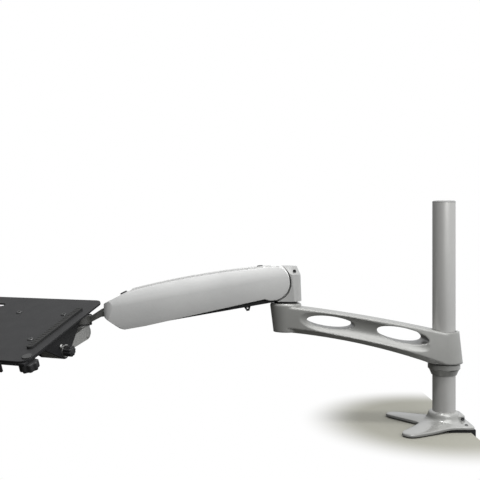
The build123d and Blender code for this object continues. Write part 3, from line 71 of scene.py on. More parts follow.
def feed(tree, node, **values):  # sockets by name, underscores for spaces
    for label, value in values.items():
        setSocket(tree, node.inputs[label.replace("_", " ")], value)
    return node


def mathNode(tree, operation, *values, clamp=False):
    node = addNode(tree, "ShaderNodeMath", operation=operation, use_clamp=clamp)
    for socket, value in zip(node.inputs, values):
        setSocket(tree, socket, value)
    return node.outputs[0]


def times(tree, a, b, clamp=False):
    return mathNode(tree, "MULTIPLY", a, b, clamp=clamp)


def plus(tree, a, b):
    return mathNode(tree, "ADD", a, b)


def minus(tree, a, b):
    return mathNode(tree, "SUBTRACT", a, b)


def stretch(tree, value, start, gain):  # what a value has past start, times gain, kept from 0 to 1
    return times(tree, minus(tree, value, start), gain, clamp=True)


def noiseNode(tree, vector, scale, detail, roughness=0.5):
    node = addNode(tree, "ShaderNodeTexNoise")
    return feed(tree, node, Vector=vector, Detail=detail, Roughness=roughness, Scale=scale).outputs[0]


def objectPlace(tree):
    return addNode(tree, "ShaderNodeTexCoord").outputs["Object"]


def splitAxes(tree, vector):
    split = addNode(tree, "ShaderNodeSeparateXYZ")
    tree.links.new(vector, split.inputs[0])
    return split.outputs


# shader groups that several finishes share

def newGroup(name, inputs, values, vectors=()):  # each input is a float
    tree = bpy.data.node_groups.new(name, "ShaderNodeTree")
    for label, value in inputs.items():
        socket = tree.interface.new_socket(label, in_out="INPUT", socket_type="NodeSocketFloat")
        socket.default_value = value
    for label in values:
        tree.interface.new_socket(label, in_out="OUTPUT", socket_type="NodeSocketFloat")
    for label in vectors:
        tree.interface.new_socket(label, in_out="OUTPUT", socket_type="NodeSocketVector")
    return tree, tree.nodes.new("NodeGroupInput"), tree.nodes.new("NodeGroupOutput")


grainSizes = {"scale": 900.0, "finer": 3.1, "detail": 2.0, "coarseShare": 0.7, "fineShare": 0.3,
              "fleckFrom": 0.55, "fleckGain": 6.0}


def buildPowderGrain():  # orange-peel height and fine flecks of a powder coat
    size = grainSizes
    tree, given, made = newGroup("powderGrain", {"Scale": size["scale"]}, ["Height", "Fleck"])
    place = objectPlace(tree)
    coarse = noiseNode(tree, place, given.outputs["Scale"], size["detail"])
    fine = noiseNode(tree, place, times(tree, given.outputs["Scale"], size["finer"]), size["detail"])
    height = plus(tree, times(tree, coarse, size["coarseShare"]), times(tree, fine, size["fineShare"]))
    tree.links.new(height, made.inputs["Height"])
    tree.links.new(stretch(tree, fine, size["fleckFrom"], size["fleckGain"]), made.inputs["Fleck"])
    return tree


driftSizes = {"scale": 14.0, "detail": 4.0, "rough": 0.6, "from": 0.3, "gain": 2.5}


def buildSlowDrift():  # broad uneven tone, as handling and light soiling leave
    size = driftSizes
    tree, given, made = newGroup("slowDrift", {"Scale": size["scale"]}, ["Factor"])
    broad = noiseNode(tree, objectPlace(tree), given.outputs["Scale"], size["detail"], size["rough"])
    tree.links.new(stretch(tree, broad, size["from"], size["gain"]), made.inputs["Factor"])
    return tree


rubSizes = {"radius": 0.0006, "breakup": 260.0, "detail": 4.0, "rough": 0.7, "samples": 4,
            "rimFrom": 0.02, "rimGain": 9.0, "patchFrom": 0.38, "patchGain": 4.0}


def buildEdgeRub():  # worn rims: where the rounded normal leaves the true one
    size = rubSizes
    inputs = {"Radius": size["radius"], "Breakup": size["breakup"]}
    tree, given, made = newGroup("edgeRub", inputs, ["Mask"], ["Normal"])
    place = objectPlace(tree)
    bevel = addNode(tree, "ShaderNodeBevel", samples=size["samples"])
    tree.links.new(given.outputs["Radius"], bevel.inputs["Radius"])
    dot = addNode(tree, "ShaderNodeVectorMath", operation="DOT_PRODUCT")
    tree.links.new(bevel.outputs[0], dot.inputs[0])
    tree.links.new(addNode(tree, "ShaderNodeNewGeometry").outputs["Normal"], dot.inputs[1])
    turn = minus(tree, 1.0, dot.outputs["Value"])
    rim = stretch(tree, turn, size["rimFrom"], size["rimGain"])
    patch = noiseNode(tree, place, given.outputs["Breakup"], size["detail"], size["rough"])
    worn = stretch(tree, patch, size["patchFrom"], size["patchGain"])
    tree.links.new(times(tree, rim, worn), made.inputs["Mask"])
    tree.links.new(bevel.outputs[0], made.inputs["Normal"])
    return tree


dustSizes = {"amount": 0.2, "upward": 3.0, "scale": 60.0, "detail": 5.0, "rough": 0.65}


def buildDustFilm():  # thin dust that settles on faces turned up
    size = dustSizes
    tree, given, made = newGroup("dustFilm", {"Amount": size["amount"]}, ["Mask"])
    place = objectPlace(tree)
    axes = splitAxes(tree, addNode(tree, "ShaderNodeNewGeometry").outputs["Normal"])
    facing = mathNode(tree, "POWER", mathNode(tree, "MAXIMUM", axes["Z"], 0.0), size["upward"])
    cloud = noiseNode(tree, place, size["scale"], size["detail"], size["rough"])
    film = times(tree, times(tree, facing, cloud), given.outputs["Amount"])
    tree.links.new(film, made.inputs["Mask"])
    return tree


lineSizes = {"across": 2200.0, "along": 12.0, "detail": 2.0}


def buildDrawnLines():  # fine lines along the height, as drawing a tube leaves
    size = lineSizes
    inputs = {"Across": size["across"], "Along": size["along"]}
    tree, given, made = newGroup("drawnLines", inputs, ["Lines"])
    axes = splitAxes(tree, objectPlace(tree))
    join = addNode(tree, "ShaderNodeCombineXYZ")
    for axis, label in (("X", "Across"), ("Y", "Across"), ("Z", "Along")):
        tree.links.new(times(tree, axes[axis], given.outputs[label]), join.inputs[axis])
    tree.links.new(noiseNode(tree, join.outputs[0], 1.0, size["detail"]), made.inputs["Lines"])
    return tree


groups = {
    "grain": buildPowderGrain(),
    "drift": buildSlowDrift(),
    "rub": buildEdgeRub(),
    "dust": buildDustFilm(),
    "lines": buildDrawnLines(),
}
print("shader groups built:", len(groups))


# finishes

finishes = {
    "greyPaint": {"dark": (0.225, 0.225, 0.214), "light": (0.27, 0.27, 0.258), "worn": (0.42, 0.415, 0.40),
                  "wear": 0.4, "rough": (0.28, 0.38), "metal": 0.25, "grain": 1100.0, "bump": 0.00004,
                  "dust": 0.06, "coat": 0.8},
    "castPaint": {"dark": (0.225, 0.225, 0.214), "light": (0.27, 0.27, 0.258), "worn": (0.36, 0.355, 0.34),
                  "wear": 0.2, "rough": (0.34, 0.44), "metal": 0.2, "grain": 1100.0, "bump": 0.00005,
                  "dust": 0.06, "coat": 0.4, "soften": 0.0035},
    "lightPaint": {"dark": (0.27, 0.27, 0.265), "light": (0.32, 0.32, 0.312), "worn": (0.48, 0.475, 0.46),
                   "wear": 0.4, "rough": (0.34, 0.44), "metal": 0.15, "grain": 1100.0, "bump": 0.00005,
                   "dust": 0.1, "coat": 0.3},
    # the grey paint made darker to stand for the shade on the head bracket and pan cover: painted shade
    "greyPaintInPaintedShade": {"dark": (0.085, 0.085, 0.08), "light": (0.115, 0.115, 0.108), "worn": (0.22, 0.22, 0.21),
                   "wear": 0.4, "rough": (0.36, 0.48), "metal": 0.2, "grain": 1100.0, "bump": 0.00005,
                   "dust": 0.08, "coat": 0.2},
    "shellPlastic": {"dark": (0.43, 0.43, 0.425), "light": (0.49, 0.49, 0.482), "worn": (0.6, 0.6, 0.59),
                     "wear": 0.3, "rough": (0.34, 0.42), "grain": 1600.0, "bump": 0.00003, "dust": 0.08,
                     "coat": 0.1, "soften": 0.0014},
    "greyPlastic": {"dark": (0.26, 0.26, 0.255), "light": (0.3, 0.3, 0.295), "worn": (0.4, 0.4, 0.39),
                    "wear": 0.3, "rough": (0.42, 0.52), "grain": 1600.0, "bump": 0.00004, "dust": 0.1},
    "blackPaint": {"dark": (0.010, 0.010, 0.011), "light": (0.018, 0.018, 0.019),
                   "worn": (0.09, 0.09, 0.09), "wear": 0.45, "rough": (0.5, 0.64), "grain": 1400.0,
                   "bump": 0.00009, "dust": 0.03, "shine": 0.22},
    "blackPlastic": {"dark": (0.012, 0.012, 0.013), "light": (0.022, 0.022, 0.023),
                     "worn": (0.06, 0.06, 0.06), "wear": 0.4, "rough": (0.42, 0.54), "grain": 2200.0,
                     "bump": 0.00005, "dust": 0.03, "shine": 0.3},
    "blackRubber": {"dark": (0.012, 0.012, 0.012), "light": (0.024, 0.024, 0.024),
                    "worn": (0.05, 0.05, 0.05), "wear": 0.3, "rough": (0.68, 0.85), "grain": 1500.0,
                    "bump": 0.0001, "dust": 0.05, "shine": 0.2},
    "zincSteel": {"dark": (0.42, 0.42, 0.41), "light": (0.55, 0.55, 0.535), "worn": (0.68, 0.68, 0.66),
                  "wear": 0.5, "rough": (0.24, 0.4), "metal": 1.0, "grain": 1800.0, "bump": 0.00002,
                  "dust": 0.04},
    "darkSteel": {"dark": (0.05, 0.05, 0.05), "light": (0.085, 0.085, 0.085), "worn": (0.25, 0.25, 0.24),
                  "wear": 0.5, "rough": (0.34, 0.46), "metal": 0.9, "grain": 1800.0, "bump": 0.00002,
                  "dust": 0.03},
}
plainFinish = {"metal": 0.0, "coat": 0.0, "shine": 0.5, "soften": 0.0006}  # unless a finish says otherwise
coatRough = 0.14
fleckShare = 0.35
dustLook = {"tone": (0.55, 0.54, 0.51), "rough": 0.4}
tubeFinish = {"dark": (0.37, 0.367, 0.355), "light": (0.42, 0.417, 0.405), "streak": (0.5, 0.497, 0.485),
              "worn": (0.62, 0.62, 0.6), "drift": 9.0, "soften": 0.0004, "streakShare": 0.4, "wear": 0.5,
              "rough": (0.26, 0.42), "metal": 0.4, "bump": 0.00002}


def placeGroup(tree, name, **values):
    return feed(tree, addNode(tree, "ShaderNodeGroup", node_tree=groups[name]), **values)


def mixColour(tree, factor, a, b):
    node = addNode(tree, "ShaderNodeMix", data_type="RGBA")
    tree.links.new(factor, node.inputs[0])
    for socket, value in zip((node.inputs[6], node.inputs[7]), (a, b)):
        setSocket(tree, socket, (*value, 1.0) if isinstance(value, tuple) else value)
    return node.outputs[2]


def mixValue(tree, factor, low, high):
    return feed(tree, addNode(tree, "ShaderNodeMapRange"), Value=factor, To_Min=low, To_Max=high).outputs[0]


def newFinish(name):
    made = bpy.data.materials.new(name)
    made.use_nodes = True
    return made, made.node_tree, made.node_tree.nodes["Principled BSDF"]


def setNormal(tree, surface, height, distance, normal):
    bump = feed(tree, addNode(tree, "ShaderNodeBump"), Distance=distance, Height=height, Normal=normal)
    tree.links.new(bump.outputs[0], surface.inputs["Normal"])


def buildFinish(name, spec):
    made, tree, surface = newFinish(name)
    grain = placeGroup(tree, "grain", Scale=spec["grain"])
    drift = placeGroup(tree, "drift")
    rub = placeGroup(tree, "rub", Radius=spec["soften"])
    dust = placeGroup(tree, "dust", Amount=spec["dust"])
    tone = mixColour(tree, drift.outputs[0], spec["dark"], spec["light"])
    flecked = mixColour(tree, times(tree, grain.outputs["Fleck"], fleckShare), tone, spec["light"])
    worn = mixColour(tree, times(tree, rub.outputs["Mask"], spec["wear"]), flecked, spec["worn"])
    dusty = mixColour(tree, dust.outputs[0], worn, dustLook["tone"])
    rough = mixValue(tree, drift.outputs[0], *spec["rough"])
    dulled = plus(tree, rough, times(tree, dust.outputs[0], dustLook["rough"]))
    feed(tree, surface, Base_Color=dusty, Roughness=dulled, Metallic=spec["metal"],
         Coat_Weight=spec["coat"], Coat_Roughness=coatRough, Specular_IOR_Level=spec["shine"])
    setNormal(tree, surface, grain.outputs["Height"], spec["bump"], rub.outputs["Normal"])
    return made


def buildDrawnTube(spec):  # satin anodised tube with faint lines along it
    made, tree, surface = newFinish("drawnTube")
    lines = placeGroup(tree, "lines").outputs[0]
    drift = placeGroup(tree, "drift", Scale=spec["drift"])
    rub = placeGroup(tree, "rub", Radius=spec["soften"])
    tone = mixColour(tree, drift.outputs[0], spec["dark"], spec["light"])
    streak = mixColour(tree, times(tree, lines, spec["streakShare"]), tone, spec["streak"])
    worn = mixColour(tree, times(tree, rub.outputs["Mask"], spec["wear"]), streak, spec["worn"])
    rough = mixValue(tree, lines, *spec["rough"])
    feed(tree, surface, Base_Color=worn, Roughness=rough, Metallic=spec["metal"])
    setNormal(tree, surface, lines, spec["bump"], rub.outputs["Normal"])
    return made


finish = {name: buildFinish(name, {**plainFinish, **spec}) for name, spec in finishes.items()}
finish["drawnTube"] = buildDrawnTube(tubeFinish)
slotFinish = {
    "grey_paint": "greyPaint", "pole_metal": "drawnTube", "shell_plastic": "shellPlastic",
    "grey_plastic": "greyPlastic", "black_paint": "blackPaint", "black_plastic": "blackPlastic",
    "black_rubber": "blackRubber", "steel": "zincSteel", "dark_steel": "darkSteel",
}
nodeFinish = {
    # head bracket and pan cover take the darker grey that paints their shade
    "knuckle": "lightPaint", "lower_arm": "castPaint", "head_bracket": "greyPaintInPaintedShade",
    "pan_cover": "greyPaintInPaintedShade", "stop_screw_right": "darkSteel", "stop_screw_left": "darkSteel",
}
for row in frame["record"]["subparts"]:
    chosen = nodeFinish.get(row["node"], slotFinish[row["material_slot"]])
    nodes[row["node"]].data.materials.clear()
    nodes[row["node"]].data.materials.append(finish[chosen])
print("finishes placed:", len(finish))


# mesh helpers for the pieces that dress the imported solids

sharpAngle = 35.0
softAngle = 50.0
allSmooth = 180.0
axisRadius = 0.01  # a lathe's profile ends this close to its axis, in mm
weldDistance = 1e-6  # in metres


def newObject(name, data):
    made = bpy.data.objects.new(name, data)
    bpy.context.scene.collection.objects.link(made)
    return made


def plainMesh(carrier):  # what an object's modifiers give, as a mesh of its own
    bpy.context.view_layer.update()
    graph = bpy.context.evaluated_depsgraph_get()
    mesh = bpy.data.meshes.new_from_object(carrier.evaluated_get(graph))
    carrier.modifiers.clear()
    bpy.data.objects.remove(carrier)
    return mesh


def standing(origin, up, ahead):  # matrix with its Z along up and its X towards ahead
    z = Vector(up).normalized()
    x = (Vector(ahead) - z * Vector(ahead).dot(z)).normalized()
    turn = Matrix((x, z.cross(x), z)).transposed().to_4x4()
    return Matrix.Translation(origin) @ turn


def keepMesh(bm, name, sharp):
    mesh = bpy.data.meshes.new(name)
    bm.to_mesh(mesh)
    bm.free()
    mesh.shade_smooth()
    mesh.set_sharp_from_angle(angle=math.radians(sharp))
    return mesh


def closeMesh(bm, name, sharp):
    bmesh.ops.remove_doubles(bm, verts=bm.verts, dist=weldDistance)
    bmesh.ops.recalc_face_normals(bm, faces=bm.faces)
    return keepMesh(bm, name, sharp)


def joinMeshes(name, meshes, sharp=sharpAngle):
    bm = bmesh.new()
    for mesh in meshes:
        bm.from_mesh(mesh)
        bpy.data.meshes.remove(mesh)
    return keepMesh(bm, name, sharp)


def bridge(bm, loops):  # faces from each closed loop to the next
    for low, high in zip(loops, loops[1:]):
        for i in range(len(low)):
            j = (i + 1) % len(low)
            bm.faces.new((low[i], low[j], high[j], high[i]))


def ringsToMesh(name, rings, sharp=sharpAngle):  # closed rings joined one to the next, capped at both ends
    bm = bmesh.new()
    loops = [[bm.verts.new(spot) for spot in ring] for ring in rings]
    bridge(bm, loops)
    bm.faces.new(loops[0])
    bm.faces.new(loops[-1])
    return closeMesh(bm, name, sharp)


def roundSpot(radius, angle, level):  # mm to metres
    return radius * mm * math.cos(angle), radius * mm * math.sin(angle), level * mm


def lathe(name, profile, steps=48):  # profile: (radius, height) pairs in mm
    angles = [2 * math.pi * i / steps for i in range(steps)]
    rings = [[roundSpot(radius, angle, height) for angle in angles] for radius, height in profile]
    return ringsToMesh(name, rings)


def roundedRing(lowX, highX, halfY, corner, level, steps=6):  # rectangle with round corners, in mm
    spots = []
    for cx, cy, start in ((highX - corner, halfY - corner, 0), (lowX + corner, halfY - corner, 90),
                          (lowX + corner, -halfY + corner, 180), (highX - corner, -halfY + corner, 270)):
        for i in range(steps + 1):
            angle = math.radians(start + 90 * i / steps)
            across, deep = cx + corner * math.cos(angle), cy + corner * math.sin(angle)
            spots.append((across * mm, deep * mm, level * mm))
    return spots


def surfaceAt(mesh, x, y, above=0.4):  # where a ray from above meets a mesh, and the normal there
    bm = bmesh.new()
    bm.from_mesh(mesh)
    tree = BVHTree.FromBMesh(bm)
    bm.free()
    spot, normal, _, _ = tree.ray_cast(Vector((x, y, above)), Vector((0, 0, -1)))
    return spot, normal


def showPiece(name, mesh, body, slotName, *replaced):
    mesh.materials.clear()
    mesh.materials.append(finish[slotFinish[slotName]])
    mesh.name = name
    piece = newObject(name, mesh)
    if replaced:
        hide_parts(*replaced)
    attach(piece, body)
    return piece


# geometry node trees for what repeats

socketKinds = {float: "NodeSocketFloat", int: "NodeSocketInt", tuple: "NodeSocketVector"}


def newShapeTree(name, inputs):
    tree = bpy.data.node_groups.new(name, "GeometryNodeTree")
    tree.interface.new_socket("Geometry", in_out="INPUT", socket_type="NodeSocketGeometry")
    tree.interface.new_socket("Geometry", in_out="OUTPUT", socket_type="NodeSocketGeometry")
    for label, value in inputs.items():
        socket = tree.interface.new_socket(label, in_out="INPUT", socket_type=socketKinds[type(value)])
        socket.default_value = value
    tree.interface.new_socket("Finish", in_out="INPUT", socket_type="NodeSocketMaterial")
    return tree, tree.nodes.new("NodeGroupInput"), tree.nodes.new("NodeGroupOutput")


def endTree(tree, given, made, shape):
    realize = addNode(tree, "GeometryNodeRealizeInstances")
    smooth = addNode(tree, "GeometryNodeSetShadeSmooth")
    paint = addNode(tree, "GeometryNodeSetMaterial")
    tree.links.new(shape, realize.inputs[0])
    tree.links.new(realize.outputs[0], smooth.inputs[0])
    tree.links.new(smooth.outputs[0], paint.inputs[0])
    tree.links.new(given.outputs["Finish"], paint.inputs["Material"])
    tree.links.new(paint.outputs[0], made.inputs[0])
    return tree


def runTree(name, tree, slotName, base=None, **values):
    carrier = newObject(name, base or bpy.data.meshes.new(name))
    change = carrier.modifiers.new("shape", "NODES")
    change.node_group = tree
    values["Finish"] = finish[slotFinish[slotName]]
    for item in tree.interface.items_tree:
        if item.item_type == "SOCKET" and item.in_out == "INPUT" and item.name in values:
            change[item.identifier] = values[item.name]
    return plainMesh(carrier)


def buildGripTree():  # turned grip with rounded rims and flutes round it
    inputs = {"Radius": 0.02, "Height": 0.02, "Flutes": 6, "Depth": 0.1, "Square": 0.3,
              "Around": 97, "Rows": 33}
    tree, given, made = newShapeTree("flutedGrip", inputs)
    square = given.outputs["Square"]
    sheet = feed(tree, addNode(tree, "GeometryNodeMeshGrid"), Size_X=1.0, Size_Y=1.0,
                 Vertices_X=given.outputs["Around"], Vertices_Y=given.outputs["Rows"])
    axes = splitAxes(tree, addNode(tree, "GeometryNodeInputPosition").outputs[0])
    turn = times(tree, plus(tree, axes[0], 0.5), 2 * math.pi)
    rise = times(tree, plus(tree, axes[1], 0.5), math.pi)
    wide = mathNode(tree, "POWER", mathNode(tree, "MAXIMUM", mathNode(tree, "SINE", rise), 0.0), square)
    lean = mathNode(tree, "COSINE", rise)
    steep = mathNode(tree, "POWER", mathNode(tree, "ABSOLUTE", lean), square)
    tall = times(tree, mathNode(tree, "SIGN", lean), steep)
    wave = mathNode(tree, "COSINE", times(tree, turn, given.outputs["Flutes"]))
    flute = times(tree, minus(tree, 0.5, times(tree, wave, 0.5)), given.outputs["Depth"])
    reach = times(tree, times(tree, wide, given.outputs["Radius"]), minus(tree, 1.0, flute))
    join = addNode(tree, "ShaderNodeCombineXYZ")
    tree.links.new(times(tree, reach, mathNode(tree, "COSINE", turn)), join.inputs[0])
    tree.links.new(times(tree, reach, mathNode(tree, "SINE", turn)), join.inputs[1])
    tree.links.new(times(tree, times(tree, tall, -0.5), given.outputs["Height"]), join.inputs[2])
    bend = feed(tree, addNode(tree, "GeometryNodeSetPosition"), Geometry=sheet.outputs["Mesh"],
                Position=join.outputs[0])
    weld = feed(tree, addNode(tree, "GeometryNodeMergeByDistance"), Geometry=bend.outputs[0],
                Distance=weldDistance)
    return endTree(tree, given, made, weld.outputs[0])


ridgeShare = 0.36  # half the width of a thread's ridge, as a share of its pitch
ridgeSides = 4
coreSides = 48


def buildThreadTree():  # core with one raised helix round it
    inputs = {"Core": 0.004, "Crest": 0.005, "Length": 0.1, "Pitch": 0.004, "Steps": 32}
    tree, given, made = newShapeTree("threadedRod", inputs)
    length, pitch = given.outputs["Length"], given.outputs["Pitch"]
    turns = mathNode(tree, "DIVIDE", length, pitch)
    ridge = times(tree, pitch, ridgeShare)
    middle = minus(tree, given.outputs["Crest"], ridge)
    path = feed(tree, addNode(tree, "GeometryNodeCurveSpiral"), Resolution=given.outputs["Steps"],
                Rotations=turns, Start_Radius=middle, End_Radius=middle, Height=length)
    upright = addNode(tree, "GeometryNodeSetCurveNormal", mode="Z_UP")
    tree.links.new(path.outputs[0], upright.inputs[0])
    section = feed(tree, addNode(tree, "GeometryNodeCurvePrimitiveCircle"), Radius=ridge,
                   Resolution=ridgeSides)
    wind = feed(tree, addNode(tree, "GeometryNodeCurveToMesh"), Curve=upright.outputs[0],
                Profile_Curve=section.outputs[0], Fill_Caps=True)
    core = feed(tree, addNode(tree, "GeometryNodeMeshCylinder"), Vertices=coreSides, Depth=length,
                Radius=given.outputs["Core"])
    shift = addNode(tree, "ShaderNodeCombineXYZ")
    tree.links.new(times(tree, length, 0.5), shift.inputs[2])
    lifted = feed(tree, addNode(tree, "GeometryNodeTransform"), Geometry=core.outputs[0],
                  Translation=shift.outputs[0])
    both = addNode(tree, "GeometryNodeJoinGeometry")
    tree.links.new(wind.outputs[0], both.inputs[0])
    tree.links.new(lifted.outputs[0], both.inputs[0])
    return endTree(tree, given, made, both.outputs[0])


def buildScatterTree():  # one small shape set on each point of a base mesh, its Z turned along an axis
    tree, given, made = newShapeTree("setOnPoints", {"Axis": (0.0, 0.0, 1.0), "Side": (1.0, 0.0, 0.0)})
    tree.interface.new_socket("Shape", in_out="INPUT", socket_type="NodeSocketObject")
    source = addNode(tree, "GeometryNodeObjectInfo")
    tree.links.new(given.outputs["Shape"], source.inputs[0])
    first = addNode(tree, "FunctionNodeAlignRotationToVector", axis="Z")
    tree.links.new(given.outputs["Axis"], first.inputs["Vector"])
    second = addNode(tree, "FunctionNodeAlignRotationToVector", axis="X", pivot_axis="Z")
    tree.links.new(first.outputs[0], second.inputs["Rotation"])
    tree.links.new(given.outputs["Side"], second.inputs["Vector"])
    placed = addNode(tree, "GeometryNodeInstanceOnPoints")
    tree.links.new(given.outputs["Geometry"], placed.inputs["Points"])
    tree.links.new(source.outputs["Geometry"], placed.inputs["Instance"])
    tree.links.new(second.outputs[0], placed.inputs["Rotation"])
    return endTree(tree, given, made, placed.outputs[0])


gripTree = buildGripTree()
threadTree = buildThreadTree()
scatterTree = buildScatterTree()


def setOnPoints(name, shapeMesh, spots, axis, side, slotName):
    base = bpy.data.meshes.new(name + "Spots")
    base.from_pydata([tuple(spot) for spot in spots], [], [])
    source = newObject(name + "Source", shapeMesh)
    mesh = runTree(name, scatterTree, slotName, base, Axis=tuple(axis), Side=tuple(side), Shape=source)
    bpy.data.objects.remove(source)
    mesh.set_sharp_from_angle(angle=math.radians(sharpAngle))
    return mesh


headShape = {  # shares of a screw head's radius, height, socket and depth, and the socket's edge in mm
    "steps": 48, "foot": 0.96, "skirt": 0.12, "side": (0.985, 0.4), "crownDraw": 0.36,
    "crown": (0.25, 0.5, 0.75, 1.0), "socketRim": 1.12, "socketEdge": 0.12, "drill": (0.3, 1.15),
}


def hexReach(radius, angle):  # how far a hexagon reaches at an angle
    return radius * math.cos(math.pi / 6) / math.cos((angle % (math.pi / 3)) - math.pi / 6)


def socketHead(name, size):  # button head with a hexagon socket, sizes in mm
    radius, height, socket, depth = (size[key] for key in ("radius", "height", "socket", "depth"))
    shape = headShape
    angles = [2 * math.pi * i / shape["steps"] for i in range(shape["steps"])]
    sideReach, sideHeight = shape["side"]
    drillReach, drillDepth = shape["drill"]
    levels = [(radius * shape["foot"], 0), (radius, height * shape["skirt"]),
              (radius * sideReach, height * sideHeight)]
    for share in shape["crown"]:
        rise = sideHeight + (1 - sideHeight) * math.sin(share * math.pi / 2)
        levels.append((radius * (sideReach - shape["crownDraw"] * share), height * rise))
    levels.append((socket * shape["socketRim"], height))
    rings = [[roundSpot(reach, angle, level) for angle in angles] for reach, level in levels]
    for level in (height - shape["socketEdge"], height - depth):
        rings.append([roundSpot(hexReach(socket, angle), angle, level) for angle in angles])
    rings.append([roundSpot(socket * drillReach, angle, height - depth * drillDepth) for angle in angles])
    return ringsToMesh(name, rings)


# foot: one casting that sweeps from the toes up to the pole boss

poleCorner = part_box("pole")[1]
poleRadius = poleCorner[0] / mm
poleTop = poleCorner[2] / mm

footSizes = {
    "outline": [(34, 0, 0), (34, 18, 30), (34, 31, 48), (30, 35, 56), (14, 34.5, 74), (-2, 34.5, 92),
                (-22, 44.5, 108), (-42, 54.5, 120), (-56, 61.5, 128), (-65, 61.5, 134), (-72.5, 53.5, 141),
                (-71.5, 45, 147), (-60, 31.5, 154), (-47, 16, 163),
                (-38, 5, 173)],  # x, y and the angle on the boss, one half
    "notch": (-36, 0, 180),
    "toe": (1.5, 5.2), "rear": (4.1, 7.2), "recessFront": -2.5,  # bottom and rim height in front and behind
    "sweep": [(0.06, 0.1), (0.2, 0.22), (0.4, 0.37), (0.6, 0.52), (0.8, 0.69),
              (0.92, 0.84)],  # share of the way in, share of the rise
    "boss": [(25.4, 11.6), (23.8, 13.4), (22.9, 15.6), (22.3, 18.0), (21.4, 20.2), (20.1, 21.8),
             (18.2, 22.8), (poleRadius + 0.05, 23.0)],  # radius and height, up to the pole
    "rimCrease": 0.8, "boreCrease": 1.0, "smoothing": 3,
}
blockSizes = {"front": 2.0, "reach": 27.0, "halfWidth": 16.5, "base": 6.0, "top": 19.0,
              "lean": 1.6, "round": 4.0,
              "levels": [(0.0, 0.0), (0.4, 0.4), (0.85, 0.85), (0.93, 0.95), (0.98, 1.3),
                         (1.0, 2.0)]}  # share of the height, share of the lean
footScrews = {"head": {"radius": 2.6, "height": 1.2, "socket": 1.3, "depth": 1.0}, "sink": 0.4,
              "slope": (23, 27.5), "side": (21.5, 15.6, 14.6), "sideAxis": 0.12}


def onBoss(radius, turn, level):
    angle = math.radians(turn)
    return Vector((radius * math.cos(angle), radius * math.sin(angle), level))


def footRings():  # from the bottom edge over the rim, up the sweep and the boss, and down the bore
    half = footSizes["outline"]
    whole = half + [footSizes["notch"]] + [(x, -y, -turn) for x, y, turn in reversed(half[1:])]
    bottom, rimRing = [], []
    for x, y, _ in whole:
        low, rim = footSizes["toe"] if x < footSizes["recessFront"] else footSizes["rear"]
        bottom.append(Vector((x, y, low)))
        rimRing.append(Vector((x, y, rim)))
    rings = [bottom, rimRing]
    bossRadius, bossFoot = footSizes["boss"][0]
    for share, lift in footSizes["sweep"]:
        ring = []
        for (_, _, turn), rim in zip(whole, rimRing):
            spot = rim.lerp(onBoss(bossRadius, turn, bossFoot), share)
            spot.z = rim.z + (bossFoot - rim.z) * lift
            ring.append(spot)
        rings.append(ring)
    for radius, level in footSizes["boss"]:
        rings.append([onBoss(radius, turn, level) for _, _, turn in whole])
    rings.append([Vector((spot.x, spot.y, footSizes["rear"][0])) for spot in rings[-1]])
    return rings


def buildFootSkin():
    bm = bmesh.new()
    loops = [[bm.verts.new(spot * mm) for spot in ring] for ring in footRings()]
    loops.append(loops[0])
    bridge(bm, loops)
    crease = bm.edges.layers.float.new("crease_edge")
    for edge in bm.edges:
        if all(vert in loops[0] for vert in edge.verts):
            edge[crease] = footSizes["rimCrease"]
        if all(vert in loops[-2] or vert in loops[-3] for vert in edge.verts):
            edge[crease] = footSizes["boreCrease"]
    carrier = newObject("footCage", closeMesh(bm, "footCage", allSmooth))
    smooth = carrier.modifiers.new("smooth", "SUBSURF")
    smooth.levels = smooth.render_levels = footSizes["smoothing"]
    return plainMesh(carrier)


def buildFootBlock():  # block behind the boss that takes its set screws
    block = blockSizes
    rings = []
    for share, lean in block["levels"]:
        inset = block["lean"] * lean
        level = block["base"] + (block["top"] - block["base"]) * share
        rings.append(roundedRing(block["front"], block["reach"] - inset, block["halfWidth"] - inset,
                                 block["round"], level))
    return ringsToMesh("footBlock", rings, softAngle)


footMesh = joinMeshes("footCasting", [buildFootSkin(), buildFootBlock()], softAngle)
footCasting = showPiece("footCasting", footMesh, "mount", "grey_paint", "base_foot")

setScrew = socketHead("setScrew", footScrews["head"])


def footScrew(name, spot, axis):
    return setOnPoints(name, setScrew.copy(), [spot], axis, (1, 0, 0), "dark_steel")


footPieces = []
for hand in (1, -1):
    x, y = (value * mm for value in footScrews["slope"])
    spot, normal = surfaceAt(footCasting.data, x, hand * y)
    footPieces.append(footScrew("slopeScrew", spot - normal * footScrews["sink"] * mm, normal))
    x, y, z = (value * mm for value in footScrews["side"])
    footPieces.append(footScrew("sideScrew", (x, hand * y, z), (0, hand, footScrews["sideAxis"])))
showPiece("footScrews", joinMeshes("footScrews", footPieces), "mount", "dark_steel")
print("foot cast and its screws set")


# pole cap, clamp screw, clamp knob and ribbed clamp rubber

capSizes = {"steps": 96,
            "profile": [(-16, 2.5), (-6.0, 2.5), (-5.3, 2.6), (-4.7, 2.95), (-4.1, 3.0), (-1.3, 3.0),
                        (-0.6, 2.8), (-0.15, 2.3), (0, 1.6), (0, 0.35), (-0.3, 0.1), (-0.6, 0.0),
                        (-16, 0.0)]}  # inset from the pole's radius, height over its end
capProfile = []
for inset, level in capSizes["profile"]:
    capProfile.append((max(poleRadius + inset, axisRadius), poleTop + level))
showPiece("poleCap", lathe("poleCap", capProfile, capSizes["steps"]), "mount", "grey_plastic", "pole_cap")

